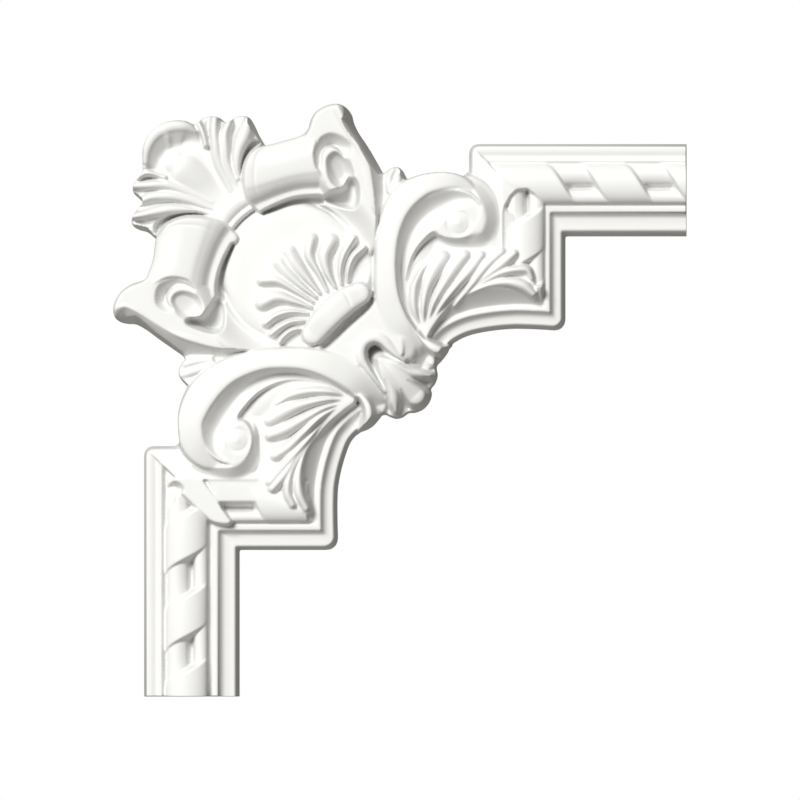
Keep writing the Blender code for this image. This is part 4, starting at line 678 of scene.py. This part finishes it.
def scroll(relief, band, well, closing, slope, eye, lip, tilt):
    """A scroll: its band winds in round a well and up to a boss, whose far side slopes to the leaf."""
    knots = np.array(well, float)
    share = np.linspace(0, 1, len(knots))[:, None]
    curve = smooth(np.hstack([knots, WELL_FLOOR + 7 * ease((share - 0.72) / 0.28)]))
    outline = np.vstack([curve[:, :2], smooth(closing)])
    place, depth = relief.inside(outline, 4)
    _, from_band, _, (fall, climb, valley) = relief.along(curve, 30)
    near = relief.around(curve[:, :2], 30)
    whole = []
    for values, rest in ((from_band, 30), (fall, 2), (climb, 8), (valley, WELL_FLOOR)):
        wide = np.full(relief.u.shape, float(rest))
        wide[near] = values
        whole.append(wide[place])
    far, fall, climb, valley = whole
    height = np.where(
        far < fall,
        BAND_SIDE - (BAND_SIDE - valley) * ease(far / fall) ** 0.8,
        valley + (BOSS_TOP - valley) * ease((far - fall) / climb),
    )
    height = height + WALL * np.minimum(depth, 0)
    relief.lay(place, np.where(depth > -3.9, height, FLOOR), 0.3)
    place, depth = relief.inside(smooth(slope, closed=True), 9)
    height = np.interp(depth, [0, 2.5, 4, 7.5, 8.8], [18.6, 20.4, 22.2, 26.6, 27.2])
    height = height + WALL * np.minimum(depth, 0)
    relief.lay(place, np.where(depth > -3.9, height, FLOOR), 0.5)
    radius = np.hypot(relief.u - eye[0], relief.v - eye[1])
    rings = 0.5 * ease(1 - np.abs(radius - 5.5) / 1.6) - 0.8 * ease(1 - radius / 4)
    relief.z -= np.where(radius < 9, rings, 0)
    rib(relief, band, drop=3.5, power=4.0, tilt=tilt)
    rib(relief, lip, drop=2.0, fillet=0.8)


band = [
    (62, -29.8, 6, 13), (57.5, -26, 6.8, 20), (50.5, -17, 6.9, 26), (44.4, -1, 6.1, 29),
    (42.9, 16, 5.4, 30), (44.5, 34, 5.7, 30), (50, 48, 6.5, 30), (60.5, 57, 6.1, 29.5),
    (69, 59.2, 5.2, 28.9), (76, 59.2, 4.2, 27.9), (82, 57.2, 3.2, 26.2), (87, 53, 2.2, 24.4),
]
well = [
    (67.5, -27.5, 1.2, 8), (61, -20.5, 1.2, 8), (56, -13, 1.4, 8), (51.5, -5, 1.8, 8), (49, 4, 2.2, 8),
    (48.2, 15, 2.4, 8), (48.3, 22, 3, 8), (49.3, 30, 4.5, 8), (51, 36, 5.5, 8), (54, 42.5, 7, 8),
    (58.5, 48, 8, 8), (63.5, 51.7, 8.5, 7), (69, 54, 8.5, 7), (75, 55, 7, 7), (81, 54.3, 5, 6),
    (86.5, 52, 3, 5), (90, 48, 1.5, 4),
]
closing = [
    (90, 48), (91, 43), (90, 37), (86.5, 32.5), (80, 30), (73, 30.5), (67, 32.3), (61.5, 28.5), (57, 22.5),
    (54.5, 15), (53.8, 6), (55.5, -5), (60, -15), (67.5, -27.5),
]
slope = [
    (83, 62), (90.2, 59.8), (95.6, 54.9), (98.8, 49.6), (100.4, 43.1), (100.4, 37.7), (98.8, 32.3),
    (96.1, 28), (91.3, 25.3), (84, 24.6), (76, 25.3), (69, 28), (66, 31.5), (70, 36), (78, 39), (82, 46),
    (80, 54), (78, 60),
]
lip = [
    (59, -16, 0.8, 24), (62.8, -21, 1.7, 27), (67, -24.1, 2.3, 28), (70.6, -25, 1.9, 27),
    (73, -24.4, 0.8, 23),
]
scroll(relief, band, well, closing, slope, (79, 38), lip, -0.2)


# The left scroll: the other one, on the lower side, with a wider band. Like the right one it is
# part of the casting, smooth and without undercuts, so that the rubber mould comes off it.
band = [
    (38.5, -53, 5, 14), (36.5, -47.5, 6.3, 20), (29.5, -40.5, 6.9, 26), (17, -33.5, 6.7, 29),
    (4, -29.8, 5.8, 30), (-8, -29.2, 5.3, 30), (-20, -30.3, 5.3, 30), (-36, -36, 6.4, 30),
    (-48, -46.5, 7.5, 29.5), (-54.3, -60, 6.8, 29), (-54, -68, 6.6, 28.6), (-51.4, -74.5, 6, 27.7),
    (-46.8, -79.3, 4.8, 26.2), (-41.5, -82, 3.2, 24.4),
]
well = [
    (29, -48.5, 1.2, 8), (20, -43, 1.4, 8), (12, -38.5, 1.8, 8), (4, -35.8, 2.2, 8), (-6, -34.5, 2.4, 8),
    (-15, -35, 3, 8), (-25, -37.5, 4.5, 8), (-33, -42, 6, 8), (-40, -48.5, 7.5, 8), (-45, -55.5, 8, 8),
    (-48, -62, 8, 7), (-48.3, -68, 7, 7), (-46, -74.5, 5, 6), (-42, -79, 3, 5), (-37, -81.5, 1.5, 4),
]
closing = [
    (-37, -81.5), (-33, -82.3), (-28, -80.4), (-24.6, -75.8), (-23.4, -70), (-24.2, -64.6), (-26.6, -61.2),
    (-30.3, -58.9), (-26.2, -52), (-20.6, -46.6), (-13.5, -42.6), (-4, -40.9), (4, -41), (14, -43.5),
    (23, -47.5), (29, -48.5),
]
slope = [
    (-54, -82), (-47.8, -87.3), (-40.8, -89.9), (-33.7, -91), (-27.5, -89.5), (-22.2, -85.5),
    (-18.6, -79.3), (-17, -72.2), (-16.8, -66), (-18.6, -61.6), (-22.5, -59.4), (-28, -60), (-31, -66),
    (-33, -74), (-40, -77), (-48, -79),
]
lip = [
    (28, -46, 0.8, 24), (32.3, -50, 1.6, 27), (34.5, -55.2, 2.0, 28), (34.1, -60, 1.7, 27),
    (31.2, -64, 0.8, 23),
]
scroll(relief, band, well, closing, slope, (-31, -70), lip, 0.2)


# The bar that closes the fan: a thick round-ended bar with a shallow waist over a narrow slit,
# cast in the same foam.
slit = [(12, -24), (24, -13.5), (35.2, -3), (36.5, 0.5), (33.6, 0.2), (22, -10.5), (11, -21)]
hollow(relief, slit, 17, 8)
bar = [(6.6, -17.2, 5.6, 28.5), (13, -9.5, 6.4, 31), (22.5, -1, 6.4, 31), (29.8, 3, 5.6, 29.8)]
rib(relief, bar, drop=5, power=3.5)
groove(relief, [(19, 6, 1.1, 0.4), (22.5, 3.2, 1.2, 0.9), (25.6, -2.6, 1.2, 0.7)])


# The leaves in both scrolls: acanthus lobes in foam that fan from the bands' ends, each a rounded flute,
# with a folded pocket under the first lobe of each leaf.
LEAF_BASE = 19.5


def leaf(relief, outline, flutes, fold, start):
    """An acanthus leaf: fluted lobes that fan from the scroll, and the hollow under its first lobe."""
    hollow(relief, outline, LEAF_BASE, 8, 2)
    mass(relief, outline, LEAF_BASE, LEAF_BASE - 1, 2.0)
    ribs(relief, flutes, drop=5, fillet=0.3, wall=5, power=1.8)
    hollow(relief, fold, lambda u, v: 21.6 - 0.36 * (u - start[0]) + 0.42 * (v - start[1]), 3, 2)


outline = [
    (63, -19), (57, -9), (54, 3), (54, 12), (57, 20), (61, 26), (66.8, 31.5), (70, 28.5), (78, 26.5),
    (90, 26), (102, 25.5), (108, 22), (107.5, 17), (113, 17), (117, 9), (117.5, 2), (113, 2.6), (107, 5),
    (100, 6.4), (92, 5.9), (84, 3.7), (77, -1.3), (71, -7.8), (66.5, -14),
]
flutes = [
    [(61.2, -16, 0.9, 17), (57.2, -5, 2.3, 24), (56.9, 5, 2.5, 25.5), (59.3, 13, 3, 25.5),
     (63.2, 18.2, 2.4, 24)],
    [(62.4, -15, 0.8, 17), (61.6, -5, 1.9, 24), (63, 5, 2.7, 25.8), (66.6, 14, 4, 26),
     (71, 20.5, 4.2, 24.5)],
    [(63.6, -13.5, 0.8, 17), (66.6, -2, 2, 24), (72, 8, 2.9, 25.8), (77.8, 17, 3.8, 26),
     (82, 21.8, 3.2, 24.5)],
    [(65.4, -11.5, 0.8, 17), (71.8, -1, 1.8, 24), (78.8, 7.8, 2.4, 25.8), (85.8, 15.8, 3.1, 26),
     (90.2, 21.8, 2.6, 24.5)],
    [(77, -3, 1.3, 19), (85.5, 7.3, 2.2, 24.5), (93.3, 17.2, 2.9, 26), (100.5, 23.6, 2.4, 24)],
    [(83, 3.2, 1.2, 20), (91.5, 10.6, 2.2, 24.5), (100, 17.2, 3, 26), (106.6, 22.8, 2.5, 24)],
    [(82, 2.3, 1, 20), (91, 8.3, 1.8, 24), (100, 13.2, 2.2, 25.5), (108, 14.9, 2.2, 25.3),
     (113.2, 14.6, 2.3, 24), (115.6, 10.5, 1.6, 22)],
    [(80.5, 0.8, 1, 19.5), (88, 4.9, 1.4, 23.5), (96, 7.8, 2.1, 25), (104, 8.6, 2.7, 25.5),
     (111.3, 6.9, 3, 25), (116.3, 3, 2.2, 23)],
]
fold = [
    (67, 32), (61.2, 27.6), (56.8, 21.4), (54.6, 14), (54.2, 9.5), (56.2, 12.5), (59, 17.3), (63.3, 20.5),
    (66.2, 24.8), (67.2, 29),
]
leaf(relief, outline, flutes, fold, (57, 24))
outline = [
    (28, -50), (20, -44.5), (8, -41), (-4, -40.3), (-14, -43.5), (-23, -50), (-29.8, -58.6), (-24, -60),
    (-21, -66), (-20.5, -73), (-20, -80), (-21, -90), (-17, -96), (-8, -95.5), (-5, -100), (0, -106),
    (5, -106.6), (5.3, -101), (3, -94), (2.5, -86), (4.2, -77), (9, -68.5), (15, -61.5), (22, -55.5),
]
flutes = [
    [(25, -48.8, 0.9, 17), (16, -46, 2, 24), (5, -45.6, 2.4, 25.5), (-4, -47.5, 2.6, 25.5),
     (-11, -50.8, 2.2, 24)],
    [(24.5, -50, 0.8, 17), (14, -49.8, 1.7, 24), (3, -51.8, 2.6, 25.8), (-6, -55, 3.8, 26),
     (-14, -59.5, 4, 24.5)],
    [(23, -51.2, 0.8, 17), (12, -54.2, 1.7, 24), (2, -59.5, 2.7, 25.8), (-7, -64.5, 3.4, 26),
     (-14.5, -67.5, 3, 24.5)],
    [(22, -52.2, 0.8, 17), (11, -58, 1.6, 24), (2, -66.2, 2.3, 25.8), (-5.5, -73.4, 2.8, 26),
     (-12, -77.8, 2.6, 24.5)],
    [(12, -60.5, 1.2, 19), (2, -72, 2, 24.5), (-7.5, -82.5, 2.8, 26), (-14.5, -90.8, 2.6, 24)],
    [(7, -65, 1.2, 20), (-1, -76.5, 2, 24.5), (-7.5, -87, 2.6, 26), (-13.5, -94, 2.4, 24)],
    [(7.2, -66.5, 0.9, 20), (0.5, -77, 1.8, 24), (-4.7, -87, 2.2, 25.5), (-6, -96, 2.4, 25),
     (-3.5, -102, 2.2, 23.5)],
    [(8, -67.5, 0.9, 19.5), (2.2, -77, 1.5, 23.5), (-0.5, -87, 2.3, 25), (-0.2, -96, 2.7, 25.5),
     (3.2, -103.8, 2.2, 23)],
]
fold = [
    (-30.1, -58.7), (-25.6, -51.9), (-20.4, -46.3), (-13.3, -42.3), (-4.4, -40.8), (-5, -43.4),
    (-8.4, -46.4), (-13.4, -51.6), (-15.2, -56), (-18.6, -58.4), (-25.7, -57.6),
]
leaf(relief, outline, flutes, fold, (-20, -50))


# The casting's skin: the mould and the primer round every edge a little, the outer walls rise from the
# outline on the back, and the arms end square, sawn flat where the next moulding joins them.
RIGHT_SCROLL_EDGE = [(53.8, 60.4), (60, 62.6), (66, 63.7), (72, 64), (78, 63.2), (81.8, 62.2), (84.3, 64.6)]
LEFT_SCROLL_EDGE = [
    (-62.6, -73), (-60.6, -71.5), (-60.7, -68), (-61.1, -61), (-60.6, -55), (-58.9, -49), (-56.5, -44),
]
ROUNDING_PASSES = 2
for _ in range(ROUNDING_PASSES):
    for axis in (0, 1):
        before = np.roll(relief.z, 1, axis)
        after = np.roll(relief.z, -1, axis)
        relief.z = (before + 2 * relief.z + after) / 4
around_left = [
    (29.3, -67), (26.7, -70.3), (25.1, -73.2), (23.6, -78.3), (22.3, -85), (21.5, -100), (24, -130),
    (-25, -130), (-25, -206), (-86, -206), (-86, -69), (-66, -70),
]
around_right = [
    (83.8, 66), (80, 70), (80, 86), (204, 86), (204, 28), (136, 28), (136, -19), (100, -18), (92, -18.2),
    (84, -18.8), (78.2, -21.4), (75.7, -23.6),
]
carved_edges = [
    LEFT_SCROLL_EDGE, LEFT_BUD_EDGE, LEFT_STRAP_EDGE, SHELL_EDGE, RIGHT_STRAP_EDGE, RIGHT_BUD_EDGE,
    RIGHT_SCROLL_EDGE,
]
runs = [smooth(edge) for edge in carved_edges]
outline = np.vstack(runs + [around_right, smooth(FOOT_EDGE), around_left])
place, depth = relief.inside(outline, 9)
rise, run = np.gradient(depth, relief.step)
facing = (rise - run) / np.maximum(np.hypot(rise, run), 0.3) / 1.4142
width = 0.22 + 0.78 * ease((facing + 0.35) / 0.95)
wall = np.interp(depth / width, [-9, 0, 1.2, 2.6, 4, 6, 8.9, 9], [-79, 0, 10.5, 20, 27, 32, 40, FREE])
relief.z[place] = np.where(depth > -8.9, np.minimum(relief.z[place], wall), FLOOR)
for end in (RIGHT_END - relief.u, relief.v - LEFT_END):
    relief.z = np.minimum(relief.z, np.interp(end, [-1, 0, 0.7, 0.9], [FLOOR, 0, 16, FREE]))
outside = np.ones(relief.u.shape, bool)
outside[place] = False
relief.z[outside] = FLOOR


# The finished casting in one piece of foam: the carved side is a sheet of small squares lifted to the
# heights, cut off at the wall and closed there with the plain flat back, which is made to be glued on.
MOST_TRIANGLES = 190000


def sheet(relief, name):
    """The carved front as a grid lifted to the relief's heights."""
    rows, columns = relief.z.shape
    work = bmesh.new()
    bmesh.ops.create_grid(work, x_segments=columns - 1, y_segments=rows - 1, size=0.5)
    mesh = bpy.data.meshes.new(name)
    work.to_mesh(mesh)
    work.free()
    place = np.empty(len(mesh.vertices) * 3, np.float32)
    mesh.vertices.foreach_get("co", place)
    place = place.reshape(-1, 3)
    column = np.rint((place[:, 0] + 0.5) * (columns - 1)).astype(int)
    row = np.rint((place[:, 1] + 0.5) * (rows - 1)).astype(int)
    place[:, 0] = relief.u[row, column] * MM
    place[:, 1] = -relief.z[row, column] * MM
    place[:, 2] = relief.v[row, column] * MM
    mesh.vertices.foreach_set("co", place.ravel())
    mesh.update()
    return mesh


def cut_flat(mesh, depth):
    """Cuts the mesh off behind the given depth and closes it with a flat back."""
    work = bmesh.new()
    work.from_mesh(mesh)
    geometry = work.verts[:] + work.edges[:] + work.faces[:]
    bmesh.ops.bisect_plane(
        work, geom=geometry, dist=1e-7, plane_co=(0, depth * MM, 0), plane_no=(0, 1, 0), clear_outer=True
    )
    rim = [edge for edge in work.edges if edge.is_boundary]
    bmesh.ops.holes_fill(work, edges=rim, sides=0)
    bmesh.ops.triangulate(work, faces=[face for face in work.faces if len(face.verts) > 4])
    bmesh.ops.recalc_face_normals(work, faces=work.faces[:])
    work.to_mesh(mesh)
    work.free()


casting_mesh = sheet(relief, "carved_casting")
cut_flat(casting_mesh, 1.0)
casting = bpy.data.objects.new("carved_casting", casting_mesh)
bpy.context.scene.collection.objects.link(casting)
casting_mesh.calc_loop_triangles()
thin = casting.modifiers.new("Thin", "DECIMATE")
thin.ratio = MOST_TRIANGLES / len(casting_mesh.loop_triangles)
thin.use_collapse_triangulate = True
graph = bpy.context.evaluated_depsgraph_get()
casting.data = bpy.data.meshes.new_from_object(casting.evaluated_get(graph))
casting.modifiers.clear()
cut_flat(casting.data, 0)
for face in casting.data.polygons:
    face.use_smooth = True
casting.data.set_sharp_from_angle(angle=1.2)


# The casting's coat: the foam comes out of the mould with a smooth skin and is sprayed with matt white
# primer, which leaves a fine grain and a faint unevenness of tone.


class Socket:
    """A shader value that can be added, multiplied and so on like a number."""

    def __init__(self, maker, link):
        self.maker, self.link = maker, link

    def math(self, operation, *values):
        return self.maker.node("ShaderNodeMath", {"operation": operation}, values)

    def __add__(self, other):
        return self.math("ADD", self, other)

    def __mul__(self, other):
        return self.math("MULTIPLY", self, other)

    __radd__ = __add__
    __rmul__ = __mul__


class Maker:
    """Adds nodes to a material: their settings first, then their values or links."""

    def __init__(self, material):
        material.use_nodes = True
        self.tree = material.node_tree
        self.shader = self.tree.nodes["Principled BSDF"]

    def node(self, kind, settings=None, inputs=(), output=0):
        made = self.tree.nodes.new(kind)
        for name, value in (settings or {}).items():
            setattr(made, name, value)
        named = inputs.items() if isinstance(inputs, dict) else enumerate(inputs)
        for name, value in named:
            self.set(made.inputs[name], value)
        return Socket(self, made.outputs[output])

    def set(self, socket, value):
        if isinstance(value, Socket):
            self.tree.links.new(value.link, socket)
        else:
            socket.default_value = value


foam = bpy.data.materials.new("white_primed_foam")
maker = Maker(foam)
place = maker.node("ShaderNodeTexCoord", output="Object")
cloud = maker.node("ShaderNodeTexNoise", None, {"Vector": place, "Scale": 55.0, "Detail": 4.0})
grain = maker.node("ShaderNodeTexNoise", None, {"Vector": place, "Scale": 1600.0, "Detail": 3.0})
tint = maker.node(
    "ShaderNodeMix",
    {"data_type": "RGBA"},
    {"Factor": cloud, "A": (0.765, 0.763, 0.757, 1), "B": (0.745, 0.742, 0.732, 1)},
    output="Result",
)
maker.set(maker.shader.inputs["Base Color"], tint)
maker.set(maker.shader.inputs["Roughness"], 0.42 + 0.14 * cloud)
bump = maker.node("ShaderNodeBump", None, {"Strength": 0.08, "Distance": 0.0002, "Height": grain})
maker.set(maker.shader.inputs["Normal"], bump)
maker.shader.inputs["Specular IOR Level"].default_value = 0.3
casting.data.materials.clear()
casting.data.materials.append(foam)
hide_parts("corner_ornament")
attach(casting, "root")


# The studio: a plain pale floor far below, soft light from the upper left and a faint warm fill, and a
# long lens straight in front, as in the photograph.
bpy.ops.mesh.primitive_plane_add(size=3, location=(0, 0, -3))
floor = bpy.context.active_object
floor.name = "floor"
pale = bpy.data.materials.new("pale_floor")
pale.use_nodes = True
pale.node_tree.nodes["Principled BSDF"].inputs["Base Color"].default_value = (0.8, 0.8, 0.79, 1)
pale.node_tree.nodes["Principled BSDF"].inputs["Roughness"].default_value = 0.9
floor.data.materials.append(pale)

world = bpy.data.worlds.new("studio")
bpy.context.scene.world = world
world.use_nodes = True
tree = world.node_tree
tree.nodes.clear()
path = tree.nodes.new("ShaderNodeLightPath")
seen = tree.nodes.new("ShaderNodeBackground")
seen.inputs["Color"].default_value = (1, 1, 1, 1)
seen.inputs["Strength"].default_value = 1.0
fill = tree.nodes.new("ShaderNodeBackground")
fill.inputs["Color"].default_value = (1.0, 0.96, 0.88, 1)
fill.inputs["Strength"].default_value = 0.2
mix = tree.nodes.new("ShaderNodeMixShader")
out = tree.nodes.new("ShaderNodeOutputWorld")
tree.links.new(path.outputs["Is Camera Ray"], mix.inputs[0])
tree.links.new(fill.outputs[0], mix.inputs[1])
tree.links.new(seen.outputs[0], mix.inputs[2])
tree.links.new(mix.outputs[0], out.inputs[0])

key_light = bpy.data.lights.new("key", "SUN")
key_light.energy = 3.8
key_light.angle = 0.35
key_light.color = (0.995, 1.0, 0.985)
key = bpy.data.objects.new("key", key_light)
key.rotation_euler = mathutils.Vector((0.40, 1.0, -0.47)).to_track_quat("-Z", "Y").to_euler()
bpy.context.scene.collection.objects.link(key)

camera_data = bpy.data.cameras.new("camera")
camera_data.sensor_width = 36
camera_data.lens = 450
camera_data.clip_end = 50
camera = bpy.data.objects.new("camera", camera_data)
camera.location = (0.05, -5.0, -0.05)
camera.rotation_euler = (np.pi / 2, 0, 0)
bpy.context.scene.collection.objects.link(camera)
bpy.context.scene.camera = camera
bpy.context.scene.view_settings.view_transform = "Standard"
